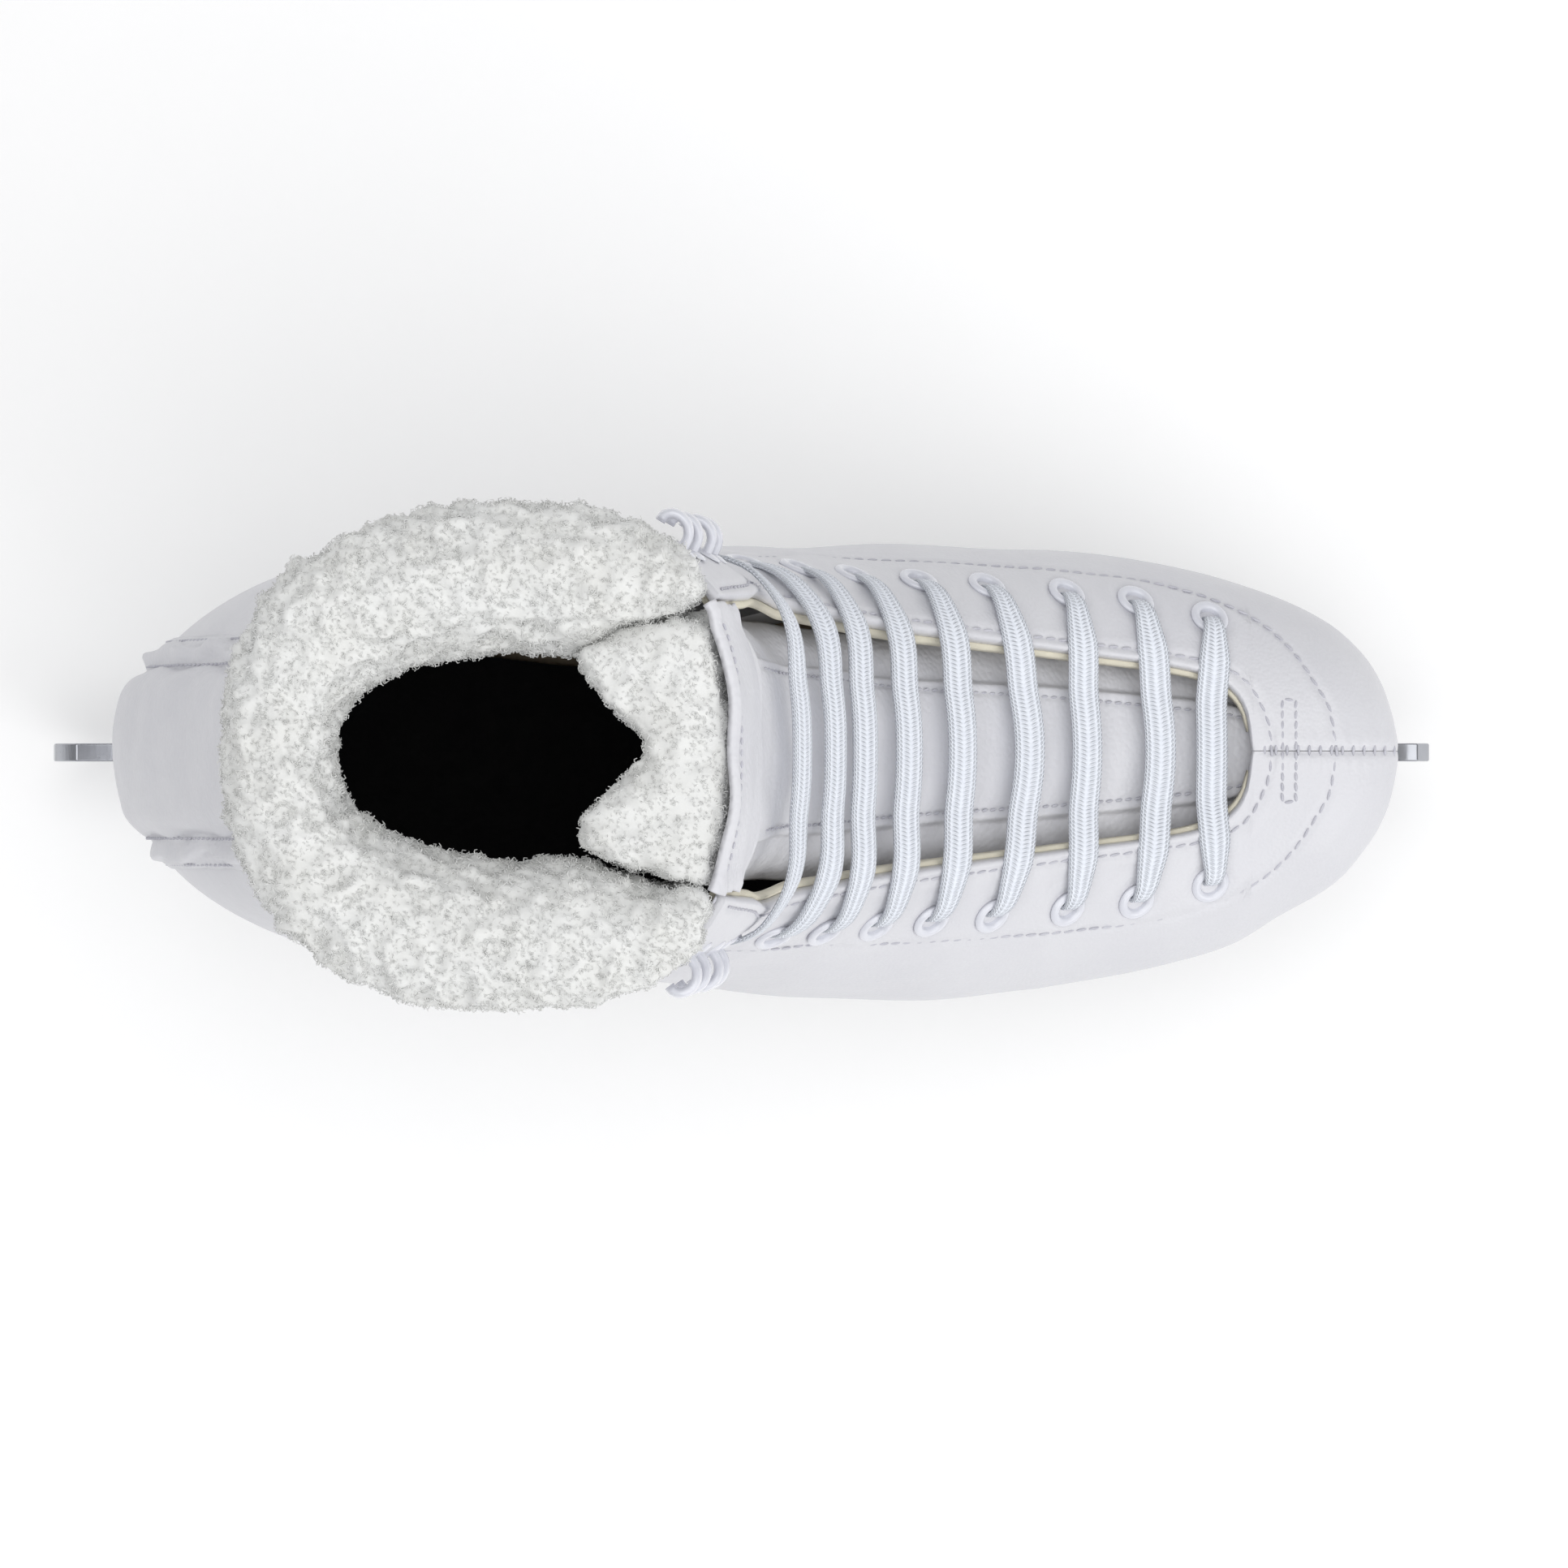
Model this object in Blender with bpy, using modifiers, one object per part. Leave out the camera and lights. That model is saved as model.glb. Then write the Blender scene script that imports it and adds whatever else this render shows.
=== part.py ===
"""A right-foot leather figure skate: laced boot with a fleece lining, and a steel blade.

Sizes below are millimetres and become metres in the meshes. +X points to the toe, +Y to the
inner (medial) side of the foot, +Z up. Points are first worked out in the skate's own frame,
where the blade lies in the plane y = 0 and x = 0 is near the middle of the foot, and are then
moved by SHIFT, which puts the origin at the middle of the bottom of the whole skate's box.
"""

from math import atan2, cos, degrees, hypot, pi, radians, sin

import bmesh
import bpy
import numpy as np
from mathutils import Vector

MM = 0.001
SHIFT = np.array((9.9, 3.1, 0.0))
GAP = 0.3

# Blade
TAIL_X, PICK_X = -163.9, 144.1
RUNNER_WIDTH = 4.0
RUNNER_TOP = 24.0
ROCKER_RADIUS = 2130.0
ROCKER_X = 20.0
PLATE_TOP, PLATE_THICK = 50.0, 2.4
SCREW_HEAD, SCREW_SHANK, SCREW_LENGTH = 4.0, 2.0, 8.4

# Boot: the side outline, seen from the side as (x, z): the front edge from toe to cuff, the
# sole line from toe to heel, and the back from the heel up
FRONT = [(133, 84), (131, 94), (126, 101), (116, 105), (100, 107), (80, 114.5), (58, 128.5),
         (38, 146), (22, 165), (12, 182), (7, 196), (2, 216), (0, 228), (-3, 240), (-5, 252),
         (-7, 262), (-8.5, 275)]
SOLE = [(133, 67), (110, 63.5), (80, 62), (30, 62), (5, 64), (-20, 71), (-45, 82), (-70, 92),
        (-90, 96.5), (-129, 98)]
BACK = [(-137, 125), (-131, 155), (-117, 185), (-109, 210), (-107, 235), (-108, 275)]
# Sole edge half widths as (x, width), inner side and outer side
SOLE_INNER = [(-129, 0), (-127, 9), (-122, 18), (-112, 25), (-98, 30), (-75, 31), (-40, 28),
              (-20, 28), (5, 33), (35, 39), (60, 40.5), (85, 38), (103, 32), (117, 24.5),
              (126, 15), (130, 8), (133, 0)]
SOLE_OUTER = [(-129, 0), (-127, 12), (-122, 21), (-112, 30), (-98, 37), (-75, 41), (-40, 43),
              (-5, 47), (30, 50), (55, 48.5), (80, 43.5), (97, 38), (110, 30), (120, 22.5),
              (128, 13), (131.5, 6), (133, 0)]
# Sections of the boot turn about this point, from upright ones in front of it to level ones
# above it. A gauge names a section: minus the distance in front, then degrees, then 90 plus
# the height above.
PIVOT_X, PIVOT_Z = 55.0, 215.0
WIDE_INNER = [(-78, 0), (-76.5, 8), (-74, 15), (-70, 21), (-62, 28), (-48, 35), (-35, 39),
              (-21, 41.3), (0, 43.8), (15, 44.5), (30, 43.5), (45, 43), (55, 42.5), (65, 43),
              (90, 43.5), (110, 44), (137, 45), (150, 45)]
WIDE_OUTER = [(-78, 0), (-77, 7), (-75, 14), (-71, 21), (-64, 29), (-52, 36), (-41.5, 42),
              (-28, 46), (-15, 49), (0, 51.6), (12, 53.4), (22, 53), (35, 50), (47, 47.5),
              (57, 46), (75, 45.5), (90, 46), (110, 47), (137, 48.5), (150, 48.5)]
WIDEST_AT = [(-78, 0.38), (-40, 0.32), (0, 0.28), (20, 0.29), (40, 0.42), (55, 0.55),
             (70, 0.6), (90, 0.58), (150, 0.55)]
# How round the sections are: 1 is an ellipse, less is squarer
ROUND_TOP = [(-78, 0.889), (0, 0.889), (20, 0.85), (50, 0.75), (90, 0.72), (150, 0.78)]
ROUND_LOW = 0.85
OUTER_EDGE = 2.0001

# Throat: half width of the opening between the facings at each gauge
THROAT = [(-45, 0), (-44.2, 7), (-42, 12), (-38, 15.5), (-30, 18), (0, 22), (12, 24),
          (30, 26.5), (50, 29), (73, 32), (90, 31), (137, 29)]
EYELET_GAUGE = (-36, -20, -5, 7.4, 17.4, 28, 39.4, 51.6, 73)
EYELET_Y = (28.5, 32, 33.5, 34.8, 35.7, 36.6, 37.6, 38.4, 39.3)
LACE_BOW = (1, 6, 5.4, 6, 4.4, 2.7, 0.5, 0.5, 1)
EYELET_OUT, EYELET_HOLE, EYELET_BARREL = 4.2, 2.1, 2.8
LACE_RADIUS = 0.8
HOOK_HEIGHTS = (214, 226, 238, 250)
HOOK_SETBACK = 9.0

# Layers of the boot wall, as depths below its outer surface
LEATHER = 2.2
FACING = ([(0, 3.3)], [(0, 4.1)])
STIFFENER = ([(0, 3.0)], [(0, 4.0)])
LINING = ([(0, 5.0)], [(0, 8.8)])
LACE_DEPTH = 6.0
TONGUE = ([(0, 7.6)], [(0, 9.0)])
TONGUE_FLEECE = ([(0, 9.4)], [(0, 13.0)])
TONGUE_TOP = ([(90, 7.6), (100, 5.2), (115, 1.9), (143, 0.6)],
              [(90, 9.0), (100, 6.6), (115, 3.3), (143, 2.0)])
TONGUE_TOP_FLEECE = [(90, 9.4), (100, 7.0), (115, 3.7), (143, 2.4)]
CUFF_GAUGE = 90 + 258 - PIVOT_Z

# Colours as (red, green, blue), roughness, metallic
WHITE_LEATHER = ((0.83, 0.83, 0.86), 0.5, 0)
FLEECE = ((0.88, 0.89, 0.87), 0.95, 0)
CREAM = ((0.80, 0.77, 0.66), 0.8, 0)
DARK_LINING = ((0.03, 0.03, 0.03), 0.9, 0)
LACE = ((0.86, 0.88, 0.93), 0.9, 0)
ENAMEL = ((0.85, 0.86, 0.90), 0.25, 0)
STEEL = ((0.60, 0.61, 0.63), 0.25, 1)
SOLE_LEATHER = ((0.78, 0.77, 0.76), 0.55, 0)
BOARD = ((0.55, 0.45, 0.33), 0.85, 0)
FOAM = ((0.75, 0.74, 0.70), 0.95, 0)


def clear_scene():
    for thing in list(bpy.data.objects):
        bpy.data.objects.remove(thing)


def new_collection(name, hidden=False):
    group = bpy.data.collections.new(name)
    bpy.context.scene.collection.children.link(group)
    group.hide_render = hidden
    return group


def material(name, look):
    colour, rough, metal = look
    made = bpy.data.materials.new(name)
    made.use_nodes = True
    shader = made.node_tree.nodes["Principled BSDF"]
    shader.inputs["Base Color"].default_value = (*colour, 1)
    shader.inputs["Roughness"].default_value = rough
    shader.inputs["Metallic"].default_value = metal
    made.diffuse_color = (*colour, 1)
    return made


def curve_through(pairs):
    """A function that runs through (place, value) pairs without overshooting them."""
    x, y = np.array(sorted(pairs), float).T
    step = np.diff(x)
    rise = np.diff(y) / step
    slope = np.zeros(len(x))
    slope[0], slope[-1] = rise[0], rise[-1]
    before, after = rise[:-1], rise[1:]
    both = before + after
    steady = before * after > 0
    slope[1:-1][steady] = 2 * before[steady] * after[steady] / both[steady]

    def value(place):
        place = np.clip(place, x[0], x[-1])
        i = np.clip(np.searchsorted(x, place, side="right") - 1, 0, len(x) - 2)
        t = (place - x[i]) / step[i]
        start = (1 + 2 * t) * (1 - t) ** 2 * y[i] + t * (1 - t) ** 2 * step[i] * slope[i]
        end = t * t * (3 - 2 * t) * y[i + 1] + t * t * (t - 1) * step[i] * slope[i + 1]
        return start + end

    return value


def gauge_and_reach(x, z):
    """Where the section through a point of the side outline is, and how far out the point is."""
    if x > PIVOT_X:
        return PIVOT_X - x, PIVOT_Z - z
    if z > PIVOT_Z:
        return 90 + z - PIVOT_Z, PIVOT_X - x
    return degrees(atan2(PIVOT_X - x, PIVOT_Z - z)), hypot(PIVOT_X - x, PIVOT_Z - z)


front_reach = curve_through([gauge_and_reach(x, z) for x, z in FRONT])
sole_height = curve_through(SOLE)
sole_line = [(x, float(sole_height(x))) for x in np.linspace(SOLE[0][0], SOLE[-1][0], 80)]
HEEL_GAUGE = gauge_and_reach(*SOLE[-1])[0]
back_reach = curve_through([gauge_and_reach(x, z) for x, z in sole_line + BACK])
sole_inner = curve_through(SOLE_INNER)
sole_outer = curve_through(SOLE_OUTER)
wide_inner = curve_through(WIDE_INNER)
wide_outer = curve_through(WIDE_OUTER)
widest_at = curve_through(WIDEST_AT)
round_top = curve_through(ROUND_TOP)
throat = curve_through(THROAT)


def skin(gauge, v):
    """Points of the boot's outer surface. v runs from 0 at the front or top centre line, over 1
    at the widest place of the inner side, to 2 at the sole edge or back centre line, and on to
    4 over the outer side. Negative v is the outer side from the front centre line."""
    gauge, v = np.broadcast_arrays(np.asarray(gauge, float), np.mod(v, 4.0))
    outer = v > 2
    v = np.where(outer, 4 - v, v)
    turn = np.radians(np.clip(gauge, 0, 90))
    front, back = front_reach(gauge), back_reach(gauge)
    wide = np.where(outer, wide_outer(gauge), wide_inner(gauge))
    at = widest_at(gauge)
    sole_x = PIVOT_X + np.maximum(-gauge, 0) - back * np.sin(turn)
    edge = np.where(outer, sole_outer(sole_x), sole_inner(sole_x))
    edge = np.where(gauge > HEEL_GAUGE, 0, np.minimum(edge, wide))
    upper = np.clip(v, 0, 1) * pi / 2
    lower = np.clip(v - 1, 0, 1) * pi / 2
    upper_along = at + (1 - at) * np.cos(upper).clip(0) ** round_top(gauge)
    lower_along = at * (1 - np.sin(lower) ** ROUND_LOW)
    along = np.where(v < 1, upper_along, lower_along)
    upper_out = wide * np.sin(upper) ** round_top(gauge)
    lower_out = edge + (wide - edge) * np.cos(lower).clip(0) ** ROUND_LOW
    out = np.where(v < 1, upper_out, lower_out)
    reach = back + along * (front - back)
    x = PIVOT_X + np.maximum(-gauge, 0) - reach * np.sin(turn)
    z = PIVOT_Z + np.maximum(gauge - 90, 0) - reach * np.cos(turn)
    return np.stack([x, np.where(outer, -out, out), z], axis=-1)


def outward(gauge, v):
    """Unit normals of the skin, from small steps along both of its directions."""
    gauge, v = np.broadcast_arrays(np.asarray(gauge, float), np.mod(v, 4.0))
    along = skin(gauge + 0.4, v) - skin(gauge - 0.4, v)
    low = np.where(v > 2, np.maximum(v - 0.02, OUTER_EDGE), v - 0.02)
    high = np.where(v > 2, v + 0.02, np.minimum(v + 0.02, 2))
    around = skin(gauge, high) - skin(gauge, low)
    normal = np.cross(around, along)
    return normal / np.linalg.norm(normal, axis=-1, keepdims=True)


def layer(gauge, v, depth):
    """Points at a depth below the skin."""
    return skin(gauge, v) - outward(gauge, v) * np.asarray(depth)[..., None]


def v_at(gauge, y):
    """The v, on the front half of the skin, of points y out from the blade's plane."""
    wide = np.where(np.asarray(y) < 0, wide_outer(gauge), wide_inner(gauge))
    share = np.clip(np.abs(y) / np.maximum(wide, 1e-6), 0, 1) ** (1 / round_top(gauge))
    return np.sign(y) * np.arcsin(share) * 2 / pi


def back_v_at(gauge, y):
    """The v, on the back half of the skin above the heel, of points y out to the inner side."""
    share = np.clip(y / wide_inner(gauge), 0, 1) ** (1 / ROUND_LOW)
    return 1 + np.arccos(share) * 2 / pi


def add_object(name, mesh, look, group):
    made = bpy.data.objects.new(name, mesh)
    group.objects.link(made)
    mesh.materials.append(material(name, look))
    return made


def solid_from_faces(name, points, faces, look, group, smooth=True):
    mesh = bpy.data.meshes.new(name)
    work = bmesh.new()
    corners = [work.verts.new(Vector((p + SHIFT) * MM)) for p in points]
    for face in faces:
        work.faces.new([corners[i] for i in face])
    bmesh.ops.recalc_face_normals(work, faces=work.faces)
    work.to_mesh(mesh)
    work.free()
    if smooth:
        mesh.shade_smooth()
        mesh.set_sharp_from_angle(angle=radians(40))
    return add_object(name, mesh, look, group)


def sandwich(name, top, bottom, look, group):
    """A closed solid between two grids of points of the same size."""
    rows, columns = top.shape[:2]
    points = np.concatenate([top.reshape(-1, 3), bottom.reshape(-1, 3)])
    under = rows * columns

    def at(i, j):
        return i * columns + j

    faces = []
    for i in range(rows - 1):
        for j in range(columns - 1):
            quad = [at(i, j), at(i + 1, j), at(i + 1, j + 1), at(i, j + 1)]
            faces += [quad, [under + k for k in reversed(quad)]]
    for i in range(rows - 1):
        for j in (0, columns - 1):
            faces.append([at(i, j), at(i + 1, j), under + at(i + 1, j), under + at(i, j)])
    for j in range(columns - 1):
        for i in (0, rows - 1):
            faces.append([at(i, j), at(i, j + 1), under + at(i, j + 1), under + at(i, j)])
    return solid_from_faces(name, points, faces, look, group)


def shell(name, gauges, v_from, v_to, columns, depths, look, group, side=0):
    """A sheet of the boot wall between two depths, from v_from(gauge) to v_to(gauge). Each depth is
    a list of (gauge, depth) pairs. side keeps half the gap from the centre plane, on the inner (1) or the outer (-1) side."""
    gauges = np.array(gauges, float)[:, None]
    share = np.linspace(0, 1, columns)[None, :]
    v = v_from(gauges) + (v_to(gauges) - v_from(gauges)) * share
    faces = [layer(gauges, v, np.interp(gauges, *np.transpose(depth)) + 0 * v) for depth in depths]
    if side:
        for points in faces:
            points[..., 1] = side * np.maximum(side * points[..., 1], GAP / 2)
    return sandwich(name, faces[0], faces[1], look, group)


SOLE_STATIONS = (-128.8, -128, -126, -122, -116, -108, -98, -88, -78, -68, -58, -48, -38, -26,
                 -14, -2, 10, 22, 35, 50, 65, 80, 92, 103, 112, 120, 126, 130, 132)


def sole_layer(name, ends, top, bottom, margin, look, group, taper=0.0):
    """A slab under or over the sole line between two stations. top and bottom are functions of
    x, margin widens it past the sole's edge, and taper narrows its underside."""
    x = np.array([s for s in SOLE_STATIONS if ends[0] <= s <= ends[1]], float)[:, None]
    share = np.array([-1, -0.8, 0, 0.8, 1])[None, :]
    grids = []
    for height, inset in ((top, 0), (bottom, taper)):
        width = np.where(share < 0, sole_outer(x), sole_inner(x)) + margin - inset
        grids.append(np.stack([x + 0 * share, share * np.maximum(width, 1.5),
                               height(x) + 0 * share], -1))
    return sandwich(name, grids[0], grids[1], look, group)


def flat_outline(name, loops, thick, middle, look, group, flat=False):
    """A 2D outline with a thickness: upright along the blade, or lying flat."""
    curve = bpy.data.curves.new(name, "CURVE")
    curve.dimensions = "2D"
    curve.fill_mode = "BOTH"
    curve.extrude = thick / 2 * MM
    for loop in loops:
        spline = curve.splines.new("POLY")
        spline.points.add(len(loop) - 1)
        for point, (a, b) in zip(spline.points, loop):
            point.co = (a * MM, b * MM, 0, 1)
        spline.use_cyclic_u = True
    made = add_object(name, curve, look, group)
    if not flat:
        made.rotation_euler = (pi / 2, 0, 0)
    made.location = Vector((np.array(middle) + SHIFT) * MM)
    return made


def cutter(name, radius, depth, centre, direction, group, sides=16):
    mesh = bpy.data.meshes.new(name)
    work = bmesh.new()
    bmesh.ops.create_cone(work, cap_ends=True, segments=sides, radius1=radius * MM,
                          radius2=radius * MM, depth=depth * MM)
    work.to_mesh(mesh)
    work.free()
    made = bpy.data.objects.new(name, mesh)
    made.location = Vector((np.array(centre) + SHIFT) * MM)
    made.rotation_euler = Vector(direction).to_track_quat("Z", "X").to_euler()
    made.hide_render = True
    made.display_type = "WIRE"
    group.objects.link(made)
    return made


def cut(target, tools):
    for tool in tools:
        modifier = target.modifiers.new(tool.name, "BOOLEAN")
        modifier.operation = "DIFFERENCE"
        modifier.object = tool


def turned(name, profile, centre, direction, look, group, steps=14):
    """A ring or a peg: a closed profile of (radius, height) turned about direction."""
    mesh = bpy.data.meshes.new(name)
    count = len(profile)
    points = [(r * MM, 0, h * MM) for r, h in profile]
    closed = all(r > 0 for r, _ in profile)
    edges = [(i, (i + 1) % count) for i in range(count if closed else count - 1)]
    mesh.from_pydata(points, edges, [])
    made = add_object(name, mesh, look, group)
    made.location = Vector((np.array(centre) + SHIFT) * MM)
    made.rotation_euler = Vector(direction).to_track_quat("Z", "X").to_euler()
    screw = made.modifiers.new("turn", "SCREW")
    screw.steps = screw.render_steps = steps
    screw.use_merge_vertices = True
    screw.merge_threshold = 1e-5
    return made


def smooth_path(points, step):
    """Points about a step apart on a smooth curve through the given points."""
    points = np.array(points, float)
    ends = np.vstack([2 * points[0] - points[1], points, 2 * points[-1] - points[-2]])
    found = []
    for a, b, c, d in zip(ends, ends[1:], ends[2:], ends[3:]):
        count = max(1, round(float(np.linalg.norm(c - b)) / step))
        for t in np.arange(count) / count:
            found.append(0.5 * (2 * b + (c - a) * t + (2 * a - 5 * b + 4 * c - d) * t**2
                                + (3 * b - a - 3 * c + d) * t**3))
    found.append(points[-1])
    return found


def tube(name, points, radius, look, group, resolution=1):
    curve = bpy.data.curves.new(name, "CURVE")
    curve.dimensions = "3D"
    curve.bevel_depth = radius * MM
    curve.bevel_resolution = resolution
    curve.use_fill_caps = True
    spline = curve.splines.new("POLY")
    spline.points.add(len(points) - 1)
    for place, point in zip(spline.points, points):
        place.co = (*((np.array(point) + SHIFT) * MM), 1)
    return add_object(name, curve, look, group)


def rocker(x):
    """Height of the runner's edge: an arc that touches the ice below the ball of the foot."""
    return (x - ROCKER_X) ** 2 / (2 * ROCKER_RADIUS)


def make_runner(group):
    touch = 12.0
    edge = [(x, rocker(x) if abs(x - ROCKER_X) > touch else 0.0)
            for x in (-150, -120, -90, -60, -30, ROCKER_X - touch, ROCKER_X + touch, 60, 90, 112)]
    # The pick: a drag tooth, then three smaller teeth up the rounded nose
    pick = [(117, 6), (121, 3), (123, 9), (129, 7.5), (129.5, 13), (136, 13), (135.5, 18.5),
            (PICK_X - 2.5, 20.5), (PICK_X - 3, 25), (PICK_X, 28.5)]
    nose = [(PICK_X - 3, 33), (137, 33.5), (128, 29), (112, 26)]
    top = [(100, RUNNER_TOP), (40, RUNNER_TOP - 1), (-20, RUNNER_TOP - 2),
           (-70, RUNNER_TOP - 1), (-120, RUNNER_TOP), (-150, 26.5)]
    middle = rocker(TAIL_X) + 11
    tail = [(TAIL_X + 8 + 8 * cos(a), middle + 10 * sin(a))
            for a in np.radians(np.arange(105, 256, 25))]
    return flat_outline("blade_runner", [edge + pick + nose + top + tail], RUNNER_WIDTH,
                        (0, 0, 0), STEEL, group)


def make_stanchions(group):
    foot, head = RUNNER_TOP + GAP, PLATE_TOP - PLATE_THICK - GAP
    front = [(98, foot + 1), (88, foot + 0.5), (80, foot + 9), (64, foot + 9), (56, foot),
             (44, foot - 0.4), (36, foot + 10), (30, head), (104, head), (100, foot + 12)]
    rear = [(-80, foot), (-106, foot), (-112, foot + 11), (-118, head), (-66, head),
            (-74, foot + 11)]
    window = [(-85, foot + 5), (-100, foot + 5), (-103, foot + 16), (-82, foot + 16)]
    flat_outline("front_stanchion", [front], 6.0, (0, 0, 0), STEEL, group)
    flat_outline("rear_stanchion", [rear, window], 6.0, (0, 0, 0), STEEL, group)


def arc(centre, radii, start, end, count):
    return [(centre[0] + radii[0] * cos(a), centre[1] + radii[1] * sin(a))
            for a in np.radians(np.linspace(start, end, count))]


FRONT_SCREWS = ((98, 11), (98, -14), (34, 13), (34, -16))
REAR_SCREWS = ((-92, 13), (-92, -16))


def make_plates(group):
    middle = PLATE_TOP - PLATE_THICK / 2
    front = (arc((86, -1.5), (28, 25), -90, 90, 9)
             + [(60, 24), (40, 19), (24, 15), (18, 8), (18, -11), (24, -18), (40, -22), (60, -27)])
    rear = (arc((-106, -1.5), (18, 20), 90, 270, 9) + [(-80, -22), (-66, -21), (-62, -14), (-62, 11),
                                                     (-66, 18), (-80, 19)])
    made = []
    for name, outline, screws in (("front_sole_plate", front, FRONT_SCREWS),
                                  ("heel_plate", rear, REAR_SCREWS)):
        holes = [arc(spot, (SCREW_SHANK + GAP,) * 2, 0, 315, 8) for spot in screws]
        made.append(flat_outline(name, [outline] + holes, PLATE_THICK, (0, 0, middle), STEEL,
                                 group, flat=True))
    return made


def make_screws(group, cutters):
    """Pan-head screws up through each plate. Returns the cutters of their holes."""
    tools = {"front": [], "rear": []}
    under = PLATE_TOP - PLATE_THICK - GAP
    profile = [(0, SCREW_LENGTH), (SCREW_SHANK, SCREW_LENGTH - 1), (SCREW_SHANK, 0),
               (SCREW_HEAD, 0), (SCREW_HEAD * 0.8, -1.6), (0, -2.0)]
    for place, spots in (("front", FRONT_SCREWS), ("rear", REAR_SCREWS)):
        for number, (x, y) in enumerate(spots, 1):
            name = f"{place}_plate_screw_{number}"
            turned(name, profile, (x, y, under), (0, 0, 1), STEEL, group, steps=10)
            tools[place].append(cutter("hole_for_" + name, SCREW_SHANK + GAP, 14,
                                       (x, y, PLATE_TOP + 6.5), (0, 0, 1), cutters, sides=10))
    return tools


def make_sole(group, holes):
    sole_layer("outsole", (-129, 132), lambda x: sole_height(x) - 0.8,
               lambda x: sole_height(x) - 5.3, 1.5, SOLE_LEATHER, group)
    block = sole_layer("forefoot_sole_block", (10, 130), lambda x: sole_height(x) - 5.6,
                       lambda x: PLATE_TOP + GAP + np.maximum(x - 104, 0) ** 2 / 180, 0.5,
                       SOLE_LEATHER, group, taper=1.0)
    split = PLATE_TOP + 6
    heel = sole_layer("heel_block", (-128, -68), lambda x: sole_height(x) - 5.6,
                      lambda x: split + 0 * x, 0.5, SOLE_LEATHER, group, taper=4.5)
    lift = sole_layer("heel_top_lift", (-126, -68), lambda x: split - GAP + 0 * x,
                      lambda x: PLATE_TOP + GAP + 0 * x, -4.0, SOLE_LEATHER, group, taper=0.8)
    cut(block, holes["front"])
    cut(lift, holes["rear"])
    cut(heel, holes["rear"])


def make_insides(group):
    sole_layer("insole_board", (-122, 126), lambda x: sole_height(x) + 4.0,
               lambda x: sole_height(x) + 2.2, -3.6, BOARD, group)
    x = np.array([s for s in SOLE_STATIONS if -88 <= s <= 10], float)[:, None]
    y = np.array((-9, 6), float)[None, :]
    grids = [np.stack([x + 0 * y, y + 0 * x, sole_height(x) + rise + 0 * y], -1)
             for rise in (1.8, GAP)]
    sandwich("steel_shank", grids[0], grids[1], STEEL, group)
    sole_layer("footbed", (-116, 112), lambda x: sole_height(x) + 8.4,
               lambda x: sole_height(x) + 4.4, -10.0, FOAM, group)


def toe_gauges(first):
    """Sections from the toe to the pivot, closer together where the toe turns and at the throat."""
    stations = (132.6, 131.6, 129.5, 126, 121, 114, 106, 100.5, 98.5, 95, 89, 80, 68)
    return [PIVOT_X - x for x in stations if x <= first]


ROWS = (toe_gauges(133) + [0, 10, 20, 30, 38, 45, 50, 54, 56.2, 57.4, 59, 62, 67, 74, 82, 90,
                           98, 109, 120, CUFF_GAUGE])


def rows(first, last):
    """The shared sections between two gauges, so that the layers' facets lie on each other."""
    return [g for g in ROWS if first <= g <= last]


def throat_v(gauge, beyond, side):
    """v of a line outside the throat's edge on one side."""
    return np.abs(v_at(gauge, side * (throat(gauge) + beyond)))


def upper_half(name, side, group):
    def start(gauge):
        v = throat_v(gauge, 0, side)
        return v if side > 0 else 4 - v

    edge = 2 if side > 0 else OUTER_EDGE
    return shell(name, ROWS, start, lambda g: edge + 0 * g, 10, ([(0, 0)], [(0, LEATHER)]), WHITE_LEATHER,
                 group, side)


def make_upper(group, cutters):
    halves = {1: upper_half("inner_upper", 1, group), -1: upper_half("outer_upper", -1, group)}
    facings = {}
    for side, word in ((1, "inner"), (-1, "outer")):
        def edge(gauge, beyond=0.0, side=side):
            v = throat_v(gauge, beyond, side)
            return v if side > 0 else 4 - v

        facings[side] = shell(word + "_facing_lining", rows(-40.5, 109), edge,
                              lambda g, edge=edge: edge(g, 18.5), 5, FACING, CREAM, group, side)
    for number, (gauge, y) in enumerate(zip(EYELET_GAUGE, EYELET_Y), 1):
        for side, word in ((1, "inner"), (-1, "outer")):
            v = v_at(gauge, side * y)
            normal = outward(gauge, v)
            centre = layer(gauge, v, 1.5)
            hole = cutter(f"hole_{word}_{number}", EYELET_BARREL + GAP, 9, centre, normal, cutters,
                          sides=12)
            cut(halves[side], [hole])
            cut(facings[side], [hole])
            turned(f"{word}_eyelet_{number}",
                   [(EYELET_HOLE, 0.9), (EYELET_OUT - 0.6, 0.9), (EYELET_OUT, GAP + 0.15),
                    (EYELET_BARREL, GAP + 0.15), (EYELET_BARREL, -4.3), (EYELET_HOLE, -4.3)],
                   skin(gauge, v), normal, ENAMEL, group, steps=8)


def make_stiffeners(group):
    shell("toe_puff", rows(-75, -51), lambda g: -1.5 + 0 * g, lambda g: 1.5 + 0 * g,
          13, STIFFENER, BOARD, group)
    shell("heel_counter", rows(59, 75), lambda g: 1.1 + 0 * g, lambda g: 2.9 + 0 * g,
          13, STIFFENER, BOARD, group)


def make_back_panel(group):
    """The padded strip up the back, on a wider stitched strip that shows as its borders."""
    gauges = rows(59, 120)
    for name, half, depths in (("back_border", 23, ([(0, -1.5)], [(0, -GAP)])),
                                ("back_pad", 16, ([(0, -4.2)], [(0, -1.8)]))):
        shell(name, gauges, lambda g, half=half: back_v_at(g, half),
              lambda g, half=half: 4 - back_v_at(g, half), 7, depths, WHITE_LEATHER, group)


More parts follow.
